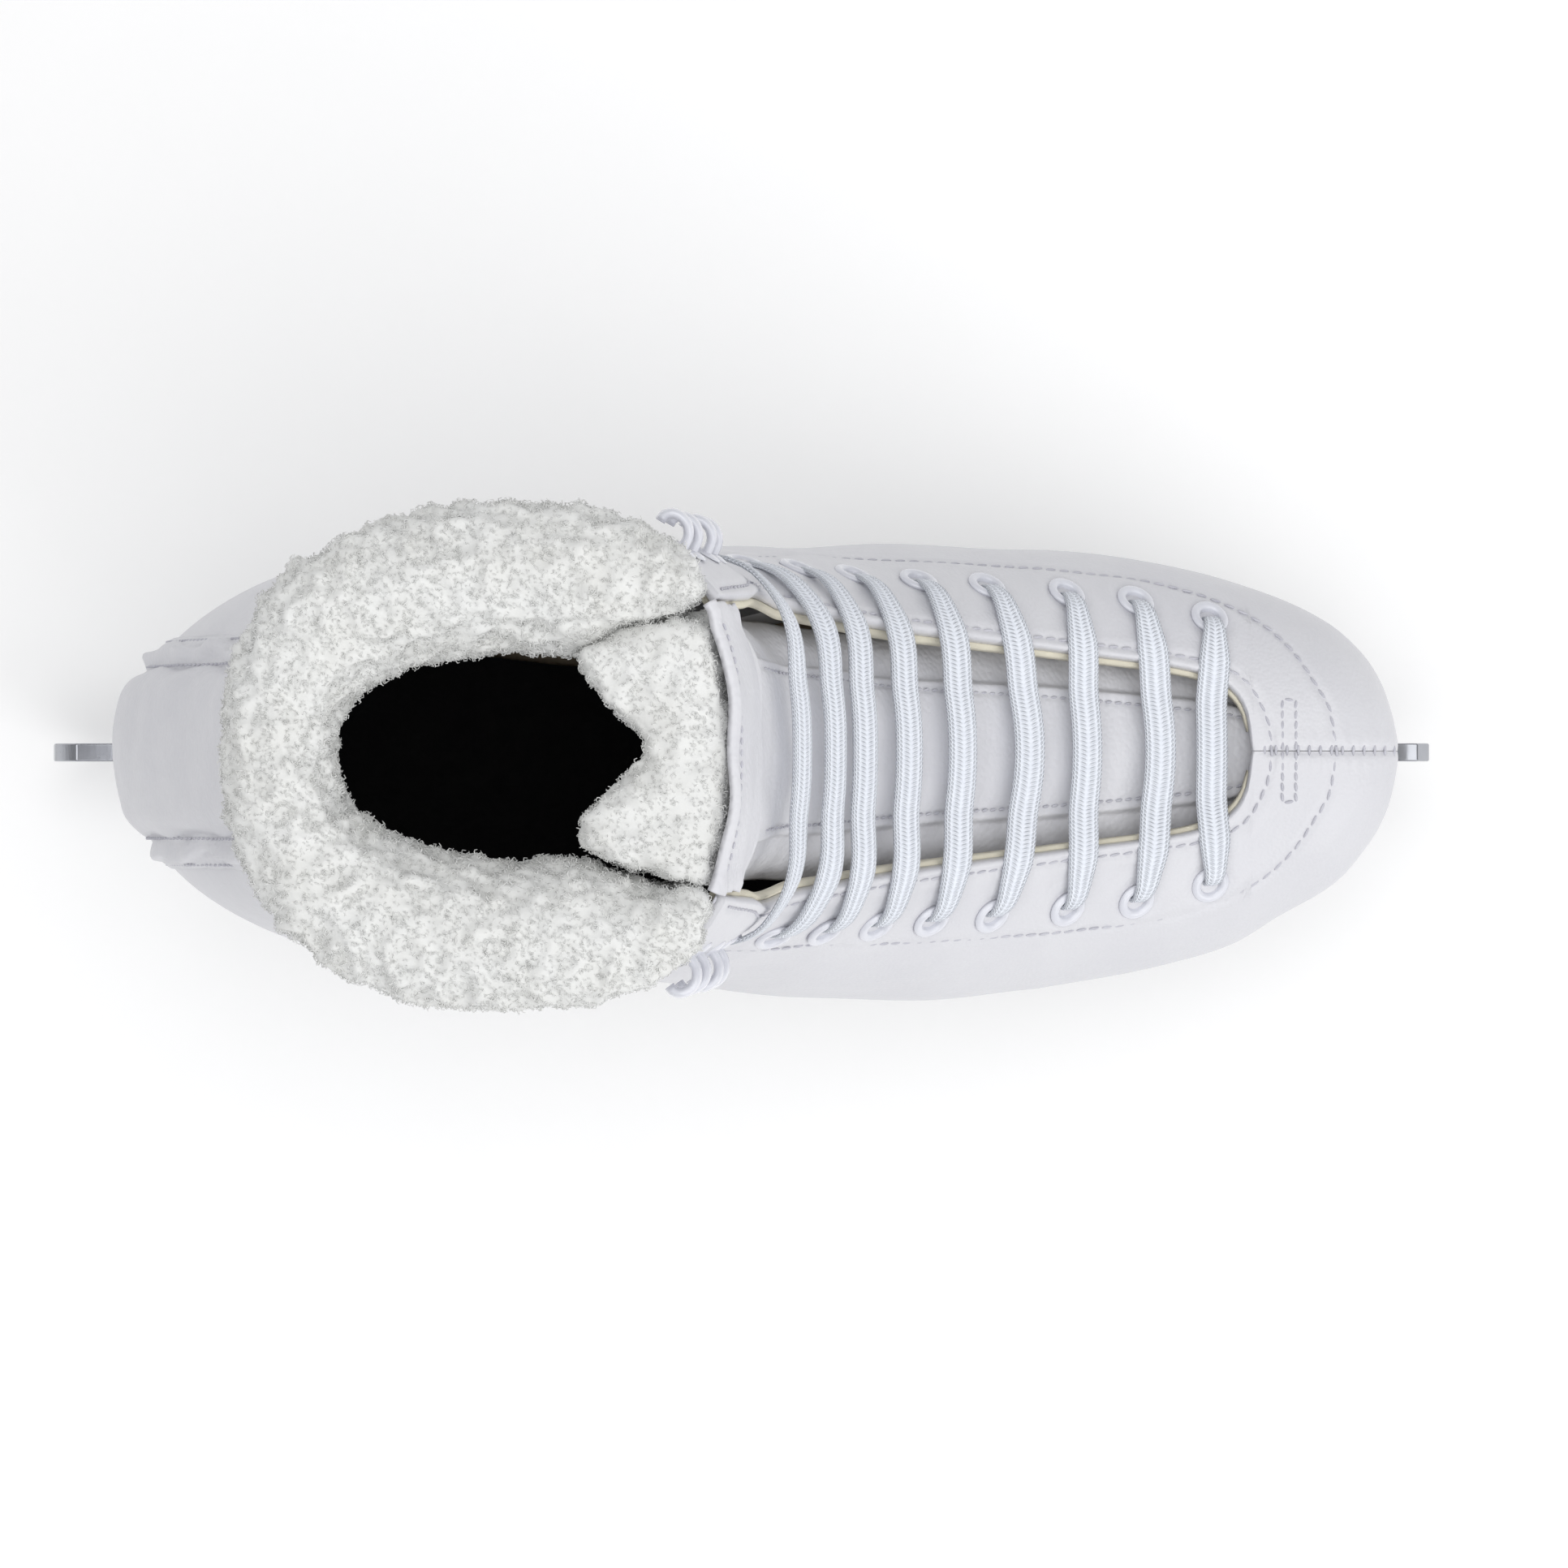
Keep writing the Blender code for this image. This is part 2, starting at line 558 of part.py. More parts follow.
def make_lining(group):
    """Dark cloth padding inside each half of the boot, from the toe to just under the collar."""
    away = curve_through([(-66, 0.2), (-57, 16), (-45, 26), (-36, 33), (-20, 37.5), (0, 39.5),
                          (30, 41), (60, 42), (90, 41)])
    low = curve_through([(-63, 1.25), (40, 1.35), (50, 1.38), (57.4, 1.45), (59, 1.6), (62, 2), (110, 2)])
    gauges = rows(-66, 98)
    for side, word in ((1, "inner"), (-1, "outer")):
        def start(gauge, side=side):
            reach = np.minimum(away(gauge), 0.97 * (wide_inner(gauge) if side > 0
                                                    else wide_outer(gauge)))
            v = np.abs(v_at(gauge, side * reach))
            return v if side > 0 else 4 - v

        def end(gauge, side=side):
            return low(gauge) if side > 0 else np.maximum(4 - low(gauge), OUTER_EDGE)

        shell(word + "_lining", gauges, start, end, 7, LINING, DARK_LINING, group, side)


def make_collar(group):
    """The thick fleece roll round the top of the boot, open in front for the tongue."""
    stations = np.concatenate([[v_at(125, 34.5), 0.6], np.linspace(0.72, 2, 9),
                               4 - np.linspace(1.84, 0.72, 8), [3.4, 4 - abs(v_at(125, -34.5))]])
    # (how far through the collar, height): out over the boot's edge, over the top, down inside
    rim = [(0.06, 237), (0.06, 258.6), (-0.09, 258.6), (-0.12, 264), (0.1, 270), (0.42, 272),
           (0.75, 269), (0.97, 260), (0.97, 248), (0.7, 239), (0.35, 236)]
    thick = curve_through([(0.47, 4.4), (0.6, 8), (0.72, 15), (0.9, 22), (1.1, 25), (1.4, 24), (2, 17.5)])
    from_front = np.where(stations > 2, 4 - stations, stations)
    wide = thick(from_front)
    gauge = 130.0
    base = skin(gauge, stations)
    normal = outward(gauge, stations)
    normal[:, 0] *= np.interp(from_front, [0.6, 0.95], [0.25, 1])
    normal[:, 2] = 0
    normal /= np.linalg.norm(normal, axis=1, keepdims=True)
    points = []
    for spot, away, depth in zip(base, normal, wide):
        for share, height in rim:
            inside = LEATHER + 2.0 if share == 0.06 or 0 < share and height <= 260 else 0
            at = spot - away * (inside + share * (depth + 2 - inside))
            points.append((at[0], at[1], height))
    count, around = len(stations), len(rim)
    faces = [[i * around + j, (i + 1) * around + j, (i + 1) * around + (j + 1) % around,
              i * around + (j + 1) % around] for i in range(count - 1) for j in range(around)]
    faces += [list(range(around)), list(range((count - 1) * around, count * around))]
    solid_from_faces("fleece_collar", np.array(points), faces, FLEECE, group)


def make_tongue(group):
    """Lower tongue under the laces, and the padded top that flexes forward over the instep."""
    def tongue_half(beyond, side):
        def v(gauge):
            return v_at(gauge, side * np.minimum(throat(gauge) * 0.9 + beyond, 29.5))
        return v

    lower = rows(-51, 82)
    top = rows(90, 133) + [143]
    for name, gauges, beyond, depths, look in (
            ("tongue_lace_panel", lower, 8, TONGUE, WHITE_LEATHER),
            ("tongue_lower_fleece", lower, 8, TONGUE_FLEECE, FLEECE),
            ("tongue_top_panel", top, 0, TONGUE_TOP, WHITE_LEATHER)):
        shell(name, gauges, tongue_half(beyond, -1), tongue_half(beyond, 1), 7, depths, look, group)

    # The fleece behind the top is about as thick all over lower down, and near its upper edge
    # it thickens to both sides into wings that lie along the collar
    gauges = np.array(top, float)[:, None]
    share = np.linspace(-1, 1, 13)[None, :]
    v = v_at(gauges, share * np.minimum(throat(gauges) * 0.9, 29.5))
    ahead = layer(gauges, v, np.interp(gauges, *np.transpose(TONGUE_TOP_FLEECE)) + 0 * v)
    wings = np.clip((gauges - 112) / 8, 0, 1)
    behind = ahead.copy()
    behind[..., 0] -= 12.5 + wings * np.interp(np.abs(share), [0, 0.75, 1], [1.5, 17, 13])
    behind[..., 1] *= 1 - 0.26 * wings
    sandwich("tongue_top_fleece", ahead, behind, FLEECE, group)


def lace_route():
    """The lace zigzags up the boot: over the tongue from one eyelet to its mate, down through
    it, and under the facing to the next one. Both ends are tucked inside."""
    route = []
    side = 1
    last = len(EYELET_GAUGE) - 1
    first_v = v_at(EYELET_GAUGE[0] + 9, EYELET_Y[0])
    route.append(layer(EYELET_GAUGE[0] + 9, first_v, LACE_DEPTH))
    for number, (gauge, y, bow) in enumerate(zip(EYELET_GAUGE, EYELET_Y, LACE_BOW)):
        for depth in (LACE_DEPTH - 0.3, 3.6, 1.2, -1.2, -2.1):
            route.append(layer(gauge, v_at(gauge, side * y), depth))
        for share in np.linspace(0.12, 0.88, 9):
            across = side * y * (1 - 2 * share)
            along = gauge - bow * sin(pi * share)
            dip = np.clip((0.5 - abs(share - 0.5) - 0.2) / 0.2, 0, 1)
            depth = -2.3 + 3.8 * dip * dip * (3 - 2 * dip)
            route.append(layer(along, v_at(along, across), depth))
        side = -side
        for depth in (-2.1, -1.2, 1.2, 3.6, LACE_DEPTH - 0.3):
            route.append(layer(gauge, v_at(gauge, side * y), depth))
        if number < last:
            middle = (gauge + EYELET_GAUGE[number + 1]) / 2
            offset = (y + EYELET_Y[number + 1]) / 2
            route.append(layer(middle, v_at(middle, side * offset), LACE_DEPTH))
    end = EYELET_GAUGE[last] - 8
    route.append(layer(end, v_at(end, side * (EYELET_Y[last] - 2)), LACE_DEPTH))
    return route


def make_hooks(group):
    """Speed hooks up both front edges of the cuff: a stem, then an arm curled back to the boot."""
    for number, height in enumerate(HOOK_HEIGHTS, 1):
        gauge = 90 + height - PIVOT_Z if height > PIVOT_Z else 89.0
        for side, word in ((1, "inner"), (-1, "outer")):
            v = v_at(gauge, side * (throat(gauge) + HOOK_SETBACK))
            at, out = skin(gauge, v), outward(gauge, v)
            back = np.cross((0, 0, 1), out) * side
            back /= np.linalg.norm(back)
            arm = [(0, 0.4), (0, 3.2), (1.2, 5.0), (3.6, 5.6), (5.8, 4.6), (6.6, 2.4)]
            points = [at + out * rise + back * run for run, rise in arm]
            tube(f"{word}_hook_{number}", points, 1.3, ENAMEL, group)


def main():
    clear_scene()
    skate = new_collection("figure_skate")
    cutters = new_collection("cutters", hidden=True)
    make_runner(skate)
    make_stanchions(skate)
    make_plates(skate)
    make_sole(skate, make_screws(skate, cutters))
    make_insides(skate)
    make_upper(skate, cutters)
    make_stiffeners(skate)
    make_back_panel(skate)
    make_lining(skate)
    make_collar(skate)
    make_tongue(skate)
    tube("lace", smooth_path(lace_route(), 7.0), LACE_RADIUS, LACE, skate, resolution=0)
    make_hooks(skate)
    hinge = bpy.data.objects.new("tongue_flex_axis", None)
    hinge.location = Vector((layer(86.0, 0.0, 8.0) + SHIFT) * MM)
    skate.objects.link(hinge)


main()
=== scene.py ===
from math import cos, degrees, hypot, atan2, pi, radians, sin

import bmesh
import bpy
import numpy as np
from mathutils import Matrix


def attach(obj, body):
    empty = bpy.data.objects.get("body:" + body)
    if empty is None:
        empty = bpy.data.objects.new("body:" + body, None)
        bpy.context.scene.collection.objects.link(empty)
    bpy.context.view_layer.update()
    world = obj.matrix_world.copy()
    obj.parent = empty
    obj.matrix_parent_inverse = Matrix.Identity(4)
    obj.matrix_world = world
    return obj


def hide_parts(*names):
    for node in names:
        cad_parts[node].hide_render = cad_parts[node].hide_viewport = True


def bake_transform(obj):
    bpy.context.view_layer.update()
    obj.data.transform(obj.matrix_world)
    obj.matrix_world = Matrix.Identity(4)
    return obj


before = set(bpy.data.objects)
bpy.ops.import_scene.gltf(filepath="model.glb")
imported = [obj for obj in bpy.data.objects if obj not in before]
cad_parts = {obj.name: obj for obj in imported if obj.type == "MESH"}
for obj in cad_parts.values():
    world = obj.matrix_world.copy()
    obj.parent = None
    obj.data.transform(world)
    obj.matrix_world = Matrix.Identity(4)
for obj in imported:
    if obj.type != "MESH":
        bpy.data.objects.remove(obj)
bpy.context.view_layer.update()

# Shapes are worked out in millimetres round the blade's own plane, then moved to the frame
shift = np.array([9.9, 3.1, 0.0])
boot, tongueBody = "boot_and_blade", "tongue_top"
halves = ((1, "inner"), (-1, "outer"))

view = dict(height=1760.0, aside=-7.06, lens=178.08)
camera = bpy.data.objects.new("camera", bpy.data.cameras.new("camera"))
bpy.context.scene.collection.objects.link(camera)
camera.data.lens, camera.data.sensor_width = view["lens"], 36.0
camera.data.clip_end = 20.0
camera.location = (shift[0] / 1000, (view["aside"] + shift[1]) / 1000, view["height"] / 1000)
bpy.context.scene.camera = camera
bpy.context.scene.view_settings.view_transform = "Standard"
print("camera placed")

# Shape of the boot
bootShape = dict(
    front=[(133, 84), (131, 94), (126, 101), (116, 105), (100, 107), (80, 114.5), (58, 128.5),
           (38, 146), (22, 165), (12, 182), (7, 196), (2, 216), (0, 228), (-3, 240), (-5, 252),
           (-7, 262), (-8.5, 275)],
    sole=[(133, 67), (110, 63.5), (80, 62), (30, 62), (5, 64), (-20, 71), (-45, 82), (-70, 92),
          (-90, 96.5), (-129, 98)],
    back=[(-137, 125), (-131, 155), (-117, 185), (-109, 210), (-107, 235), (-108, 275)],
    soleInner=[(-129, 0), (-127, 9), (-122, 18), (-112, 25), (-98, 30), (-75, 31), (-40, 28),
        (-20, 28), (5, 33), (35, 39), (60, 40.5), (85, 38), (103, 32), (117, 24.5),
        (126, 15), (130, 8), (133, 0)],
    soleOuter=[(-129, 0), (-127, 12), (-122, 21), (-112, 30), (-98, 37), (-75, 41), (-40, 43),
        (-5, 47), (30, 50), (55, 48.5), (80, 43.5), (97, 38), (110, 30), (120, 22.5),
        (128, 13), (131.5, 6), (133, 0)],
    wideInner=[(-78, 0), (-76.5, 8), (-74, 15), (-70, 21), (-62, 28), (-48, 35), (-35, 39),
        (-21, 41.3), (0, 43.8), (15, 44.5), (30, 43.5), (45, 43), (55, 42.5), (65, 43),
        (90, 43.5), (110, 44), (137, 45), (150, 45)],
    wideOuter=[(-78, 0), (-77, 7), (-75, 14), (-71, 21), (-64, 29), (-52, 36), (-41.5, 42),
        (-28, 46), (-15, 49), (0, 51.6), (12, 53.4), (22, 53), (35, 50), (47, 47.5),
        (57, 46), (75, 45.5), (90, 46), (110, 47), (137, 48.5), (150, 48.5)],
    widestAt=[(-78, 0.38), (-40, 0.32), (0, 0.28), (20, 0.29), (40, 0.42), (55, 0.55), (70, 0.6),
              (90, 0.58), (150, 0.55)],
    roundTop=[(-78, 0.889), (0, 0.889), (20, 0.85), (50, 0.75), (90, 0.72), (150, 0.78)],
    throat=[(-45, 0), (-44.2, 7), (-42, 12), (-38, 15.5), (-30, 18), (0, 22), (12, 24),
            (30, 26.5), (50, 29), (73, 32), (90, 31), (137, 29)],
    pivot=(55.0, 215.0), roundLow=0.85, cuff=133.0, leather=2.2)
pivotX, pivotZ = bootShape["pivot"]


# A curve through (place, value) pairs: cubic pieces whose slopes are the harmonic mean of the
# slopes on both sides, so that it never overshoots
def curveThrough(pairs):
    x, y = np.array(sorted(pairs), float).T
    step = np.diff(x)
    rise = np.diff(y) / step
    slope = np.zeros(len(x))
    slope[0], slope[-1] = rise[0], rise[-1]
    before, after = rise[:-1], rise[1:]
    both = before + after
    steady = before * after > 0
    slope[1:-1][steady] = 2 * before[steady] * after[steady] / both[steady]

    def value(place):
        place = np.clip(place, x[0], x[-1])
        i = np.clip(np.searchsorted(x, place, side="right") - 1, 0, len(x) - 2)
        t = (place - x[i]) / step[i]
        start = (1 + 2 * t) * (1 - t) ** 2 * y[i] + t * (1 - t) ** 2 * step[i] * slope[i]
        end = t * t * (3 - 2 * t) * y[i + 1] + t * t * (t - 1) * step[i] * slope[i + 1]
        return start + end

    return value


# Sections of the boot stand upright ahead of the pivot, fan round it, and lie level above it
def gaugeAndReach(x, z):
    if x > pivotX:
        return pivotX - x, pivotZ - z
    if z > pivotZ:
        return 90 + z - pivotZ, pivotX - x
    return degrees(atan2(pivotX - x, pivotZ - z)), hypot(pivotX - x, pivotZ - z)


soleHeight = curveThrough(bootShape["sole"])
frontReach = curveThrough([gaugeAndReach(x, z) for x, z in bootShape["front"]])
soleLine = [(x, float(soleHeight(x))) for x in np.linspace(133, -129, 80)]
backReach = curveThrough([gaugeAndReach(x, z) for x, z in soleLine + bootShape["back"]])
heelGauge = gaugeAndReach(-129, 98)[0]
soleInner, soleOuter = curveThrough(bootShape["soleInner"]), curveThrough(bootShape["soleOuter"])
wideInner, wideOuter = curveThrough(bootShape["wideInner"]), curveThrough(bootShape["wideOuter"])
widestAt, roundTop = curveThrough(bootShape["widestAt"]), curveThrough(bootShape["roundTop"])
throat = curveThrough(bootShape["throat"])


# A point of the boot's skin: two quarter superellipses a side, from the front (v 0) over the
# widest place (v 1) to the sole or the back (v 2), and 2 to 4 back up the outer side
def skin(gauge, v):
    gauge, v = np.broadcast_arrays(np.asarray(gauge, float), np.mod(v, 4.0))
    outer = v > 2
    v = np.where(outer, 4 - v, v)
    turn = np.radians(np.clip(gauge, 0, 90))
    front, back = frontReach(gauge), backReach(gauge)
    wide = np.where(outer, wideOuter(gauge), wideInner(gauge))
    at = widestAt(gauge)
    soleX = pivotX + np.maximum(-gauge, 0) - back * np.sin(turn)
    edge = np.where(outer, soleOuter(soleX), soleInner(soleX))
    edge = np.where(gauge > heelGauge, 0, np.minimum(edge, wide))
    upper, lower = np.clip(v, 0, 1) * pi / 2, np.clip(v - 1, 0, 1) * pi / 2
    low = bootShape["roundLow"]
    along = np.where(v < 1, at + (1 - at) * np.cos(upper).clip(0) ** roundTop(gauge),
                     at * (1 - np.sin(lower) ** low))
    out = np.where(v < 1, wide * np.sin(upper) ** roundTop(gauge),
                   edge + (wide - edge) * np.cos(lower).clip(0) ** low)
    reach = back + along * (front - back)
    x = pivotX + np.maximum(-gauge, 0) - reach * np.sin(turn)
    z = pivotZ + np.maximum(gauge - 90, 0) - reach * np.cos(turn)
    return np.stack([x, np.where(outer, -out, out), z], axis=-1)


# Each vector divided by its own length
def unit(vectors):
    return vectors / np.maximum(np.linalg.norm(vectors, axis=-1, keepdims=True), 1e-9)


# The skin's outward direction: across a small step along the boot and one round it
def outward(gauge, v):
    gauge, v = np.broadcast_arrays(np.asarray(gauge, float), np.mod(v, 4.0))
    inner = v <= 2
    low = np.where(inner, v - 0.02, np.maximum(v - 0.02, 2.0001))
    high = np.where(inner, np.minimum(v + 0.02, 2.0), v + 0.02)
    around = skin(gauge, high) - skin(gauge, low)
    return unit(np.cross(around, skin(gauge + 0.4, v) - skin(gauge - 0.4, v)))


# A grid a depth under the skin: the skin less its outward direction times the depth
def layer(gauge, v, depth):
    return skin(gauge, v) - outward(gauge, v) * np.asarray(depth, float)[..., None]


# Where a distance y from the centre plane falls on the boot's front
def vAt(gauge, y):
    wide = np.where(np.asarray(y) < 0, wideOuter(gauge), wideInner(gauge))
    share = np.clip(np.abs(y) / wide, 0, 1) ** (1 / roundTop(gauge))
    return np.sign(y) * np.arcsin(share) * 2 / pi


# The same on the boot's back
def backVAt(gauge, y):
    share = np.clip(y / wideInner(gauge), 0, 1) ** (1 / bootShape["roundLow"])
    return 1 + np.arccos(share) * 2 / pi


# A bell curve: 1 at the middle, falling as exp(-(distance / width) squared)
def hump(value, middle, width):
    return np.exp(-((value - middle) / width) ** 2)


# 0 up to the start, then straight up to 1 over the length
def fade(value, start, length):
    return np.clip((value - start) / length, 0, 1)


# A smooth random field: twenty sine waves of one wavelength in random directions
def ripple(points, wavelength, seed):
    dice = np.random.default_rng(seed)
    waves = unit(dice.normal(size=(20, 3))) * 2 * pi / wavelength
    phase = dice.uniform(0, 2 * pi, 20)
    total = np.zeros(points.shape[:-1])
    for wave, start in zip(waves, phase):
        total += np.sin(points @ wave + start)
    return total / 20 ** 0.5


# A new object in the scene, for a mesh or a lamp
def placed(name, data):
    piece = bpy.data.objects.new(name, data)
    bpy.context.scene.collection.objects.link(piece)
    return piece


# A mesh object from points in millimetres and faces; a map is given per point, in millimetres
def newPiece(name, points, faces, uv=None):
    mesh = bpy.data.meshes.new(name)
    mesh.from_pydata(((np.asarray(points).reshape(-1, 3) + shift) / 1000).tolist(), [],
                     np.asarray(faces).tolist() if not isinstance(faces, list) else faces)
    if uv is not None:
        corner = np.empty(len(mesh.loops), np.int32)
        mesh.loops.foreach_get("vertex_index", corner)
        mesh.uv_layers.new(name="UVMap").data.foreach_set(
            "uv", np.asarray(uv).reshape(-1, 2)[corner].astype(np.float32).ravel())
    mesh.polygons.foreach_set("use_smooth", [True] * len(mesh.polygons))
    return placed(name, mesh)


# Quads of a grid, whose rows or columns may close on themselves
def gridFaces(rows, columns, closedRows=False, closedColumns=False, first=0, flip=False):
    i = np.arange(rows if closedRows else rows - 1)[:, None]
    j = np.arange(columns if closedColumns else columns - 1)[None, :]
    k, m = (i + 1) % rows, (j + 1) % columns
    quad = np.stack(np.broadcast_arrays(i * columns + j, k * columns + j, k * columns + m,
                                        i * columns + m), -1).reshape(-1, 4) + first
    return quad[:, ::-1] if flip else quad


# A closed sheet between two grids: both faces, and a strip round the four edges
def sheetPiece(name, top, bottom, uv=None):
    rows, columns = top.shape[:2]
    count = rows * columns
    index = np.arange(count).reshape(rows, columns)
    rim = np.concatenate([index[0], index[1:, -1], index[-1, -2::-1], index[-2:0:-1, 0]])
    after = np.roll(rim, -1)
    side = np.stack([rim, after, after + count, rim + count], -1)
    faces = np.concatenate([gridFaces(rows, columns), gridFaces(rows, columns, first=count, flip=True),
                            side])
    both = np.concatenate([top.reshape(-1, 3), bottom.reshape(-1, 3)])
    if uv is not None:
        uv = np.concatenate([uv.reshape(-1, 2), uv.reshape(-1, 2)])
    piece = newPiece(name, both, faces, uv=uv)
    outwardFaces(piece)
    return piece


# Runs an edit on a mesh, then turns every face outward
def edited(mesh, edit):
    work = bmesh.new()
    work.from_mesh(mesh)
    edit(work)
    bmesh.ops.recalc_face_normals(work, faces=work.faces)
    work.to_mesh(mesh)
    work.free()


# Merges points that coincide and turns every face outward
def outwardFaces(piece):
    edited(piece.data, lambda work: bmesh.ops.remove_doubles(work, verts=work.verts, dist=1e-7))


# A small shape set down many times: points = place + axes times the shape's own points
def repeated(name, shape, faces, places, axes):
    points = places[:, None, :] + np.einsum("nij,vj->nvi", axes, shape)
    first = np.arange(len(places))[:, None, None] * len(shape)
    return newPiece(name, points, (first + np.asarray(faces)[None]).reshape(-1, 4))


# A tapered bead: rings of six points whose radius follows a circle's height
def bead(rings=5, sides=6):
    along = -np.cos(np.linspace(0, pi, rings + 2))
    radius = np.sqrt(np.maximum(1 - along ** 2, 0.02))
    turn = np.linspace(0, 2 * pi, sides, endpoint=False)
    points = np.stack([np.repeat(along, sides), np.outer(radius, np.cos(turn)).ravel(),
                       np.outer(radius, np.sin(turn)).ravel()], -1)
    return points, gridFaces(rings + 2, sides, closedColumns=True)


# Points at an even spacing along a polyline
def evenly(points, pitch):
    length = np.concatenate([[0], np.cumsum(np.linalg.norm(np.diff(points, axis=0), axis=1))])
    places = np.arange(0, length[-1], length[-1] / max(round(length[-1] / pitch), 1)) + 1e-6
    return np.stack([np.interp(places, length, points[:, k]) for k in range(3)], -1)


# A row of stitches: beads laid end to end on a line over the skin, slightly sunk in it
def stitchRow(name, points, normals, pitch=2.1, length=1.5, width=0.62):
    line = evenly(points, pitch)
    nearest = np.linalg.norm(points[None] - line[:, None], axis=-1).argmin(1)
    up = unit(normals[nearest])
    along = unit(np.gradient(line, axis=0))
    across = unit(np.cross(up, along))
    along = unit(along + across * 0.12)
    shape, faces = bead()
    shape = shape * [length / 2, width / 2, width / 2]
    axes = np.stack([along, across, up], -1)
    return repeated(name, shape, faces, line + up * width * 0.12, axes)


# A profile of (radius, height) points turned about a direction at a centre
def turnedPiece(name, profile, centre, direction, steps=40):
    up = unit(np.asarray(direction, float))
    side = unit(np.cross(up, [0.3, 0.9, 0.1]))
    other = np.cross(up, side)
    turn = np.linspace(0, 2 * pi, steps, endpoint=False)
    ring = np.outer(np.cos(turn), side) + np.outer(np.sin(turn), other)
    profile = np.asarray(profile, float)
    points = centre + profile[:, None, :1] * ring[None] + profile[:, None, 1:] * up
    piece = newPiece(name, points, gridFaces(len(profile), steps, closedRows=True, closedColumns=True))
    outwardFaces(piece)
    return piece


# A flat oval swept along a path: width along the given side vectors, thickness across it
def strapPoints(path, sides, width, thick, columns=14, power=0.45):
    along = unit(np.gradient(path, axis=0))
    sides = unit(sides - (sides * along).sum(-1, keepdims=True) * along)
    up = np.cross(along, sides)
    turn = np.linspace(0, 2 * pi, columns, endpoint=False)
    flat = np.sign(np.cos(turn)) * np.abs(np.cos(turn)) ** power
    tall = np.sign(np.sin(turn)) * np.abs(np.sin(turn)) ** power
    width, thick = np.broadcast_to(width, len(path)), np.broadcast_to(thick, len(path))
    return (path[:, None] + sides[:, None] * (flat * 0.5)[None, :, None] * width[:, None, None]
            + up[:, None] * (tall * 0.5)[None, :, None] * thick[:, None, None])


rounding = dict(flat=1.2, sharp=35, segments=2)


# Merges points that coincide, and faces that lie in one plane to within an angle
def mergeFlats(work):
    bmesh.ops.remove_doubles(work, verts=work.verts, dist=1e-6)
    bmesh.ops.dissolve_limit(work, angle_limit=radians(rounding["flat"]), verts=work.verts,
                             edges=work.edges)


# A copy of a CAD node: its triangles merged, edges sharper than an angle rounded to a bevel in
# millimetres, and its flats kept flat
def refined(cadName, bevel=0.0, name=None):
    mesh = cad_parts[cadName].data.copy()
    mesh.materials.clear()
    edited(mesh, mergeFlats)
    piece = placed(name or cadName + "_shape", mesh)
    mesh.polygons.foreach_set("use_smooth", [True] * len(mesh.polygons))
    if bevel:
        edges = piece.modifiers.new("rounded edges", "BEVEL")
        edges.width, edges.segments = bevel / 1000, rounding["segments"]
        edges.limit_method, edges.angle_limit = "ANGLE", radians(rounding["sharp"])
        edges.harden_normals = False
    flats = piece.modifiers.new("flats", "WEIGHTED_NORMAL")
    flats.keep_sharp = True
    settle(piece)
    return piece


# Applies every modifier by taking the evaluated mesh
def settle(piece):
    bpy.context.view_layer.update()
    evaluated = piece.evaluated_get(bpy.context.evaluated_depsgraph_get())
    mesh = bpy.data.meshes.new_from_object(evaluated)
    old = piece.data
    piece.modifiers.clear()
    piece.data = mesh
    bpy.data.meshes.remove(old)


# A shader node with its settings, or its inputs where no setting has that name
def node(tree, kind, **values):
    made = tree.nodes.new("ShaderNode" + kind)
    for key, value in values.items():
        if hasattr(made, key):
            setattr(made, key, value)
        else:
            made.inputs[key.replace("_", " ")].default_value = value
    return made


# Links each pair of an output and an input
def join(tree, *pairs):
    for source, target in pairs:
        tree.links.new(source, target)


# A node group with its named inputs and outputs
def newGroup(name, inputs, outputs):
    tree = bpy.data.node_groups.new(name, "ShaderNodeTree")
    for label, kind, value in inputs:
        socket = tree.interface.new_socket(name=label, in_out="INPUT", socket_type="NodeSocket" + kind)
        if value is not None:
            socket.default_value = value
    for label, kind in outputs:
        tree.interface.new_socket(name=label, in_out="OUTPUT", socket_type="NodeSocket" + kind)
    return tree, tree.nodes.new("NodeGroupInput"), tree.nodes.new("NodeGroupOutput")


# Two tones mixed by a soft cloudy pattern
def makeTones():
    tree, given, out = newGroup("soft tones", [("Place", "Vector", None), ("Light", "Color", None),
                                               ("Dark", "Color", None), ("Scale", "Float", 40.0),
                                               ("Share", "Float", 0.5)], [("Color", "Color")])
    cloud = node(tree, "TexNoise", Detail=4.0, Roughness=0.6)
    ramp = node(tree, "MapRange", From_Min=0.35, From_Max=0.7)
    times = node(tree, "Math", operation="MULTIPLY")
    mix = node(tree, "Mix", data_type="RGBA")
    join(tree, (given.outputs["Place"], cloud.inputs["Vector"]),
        (given.outputs["Scale"], cloud.inputs["Scale"]),
        (cloud.outputs["Fac"], ramp.inputs["Value"]), (ramp.outputs["Result"], times.inputs[0]),
        (given.outputs["Share"], times.inputs[1]), (times.outputs[0], mix.inputs["Factor"]),
        (given.outputs["Light"], mix.inputs[6]), (given.outputs["Dark"], mix.inputs[7]),
        (mix.outputs[2], out.inputs["Color"]))
    return tree


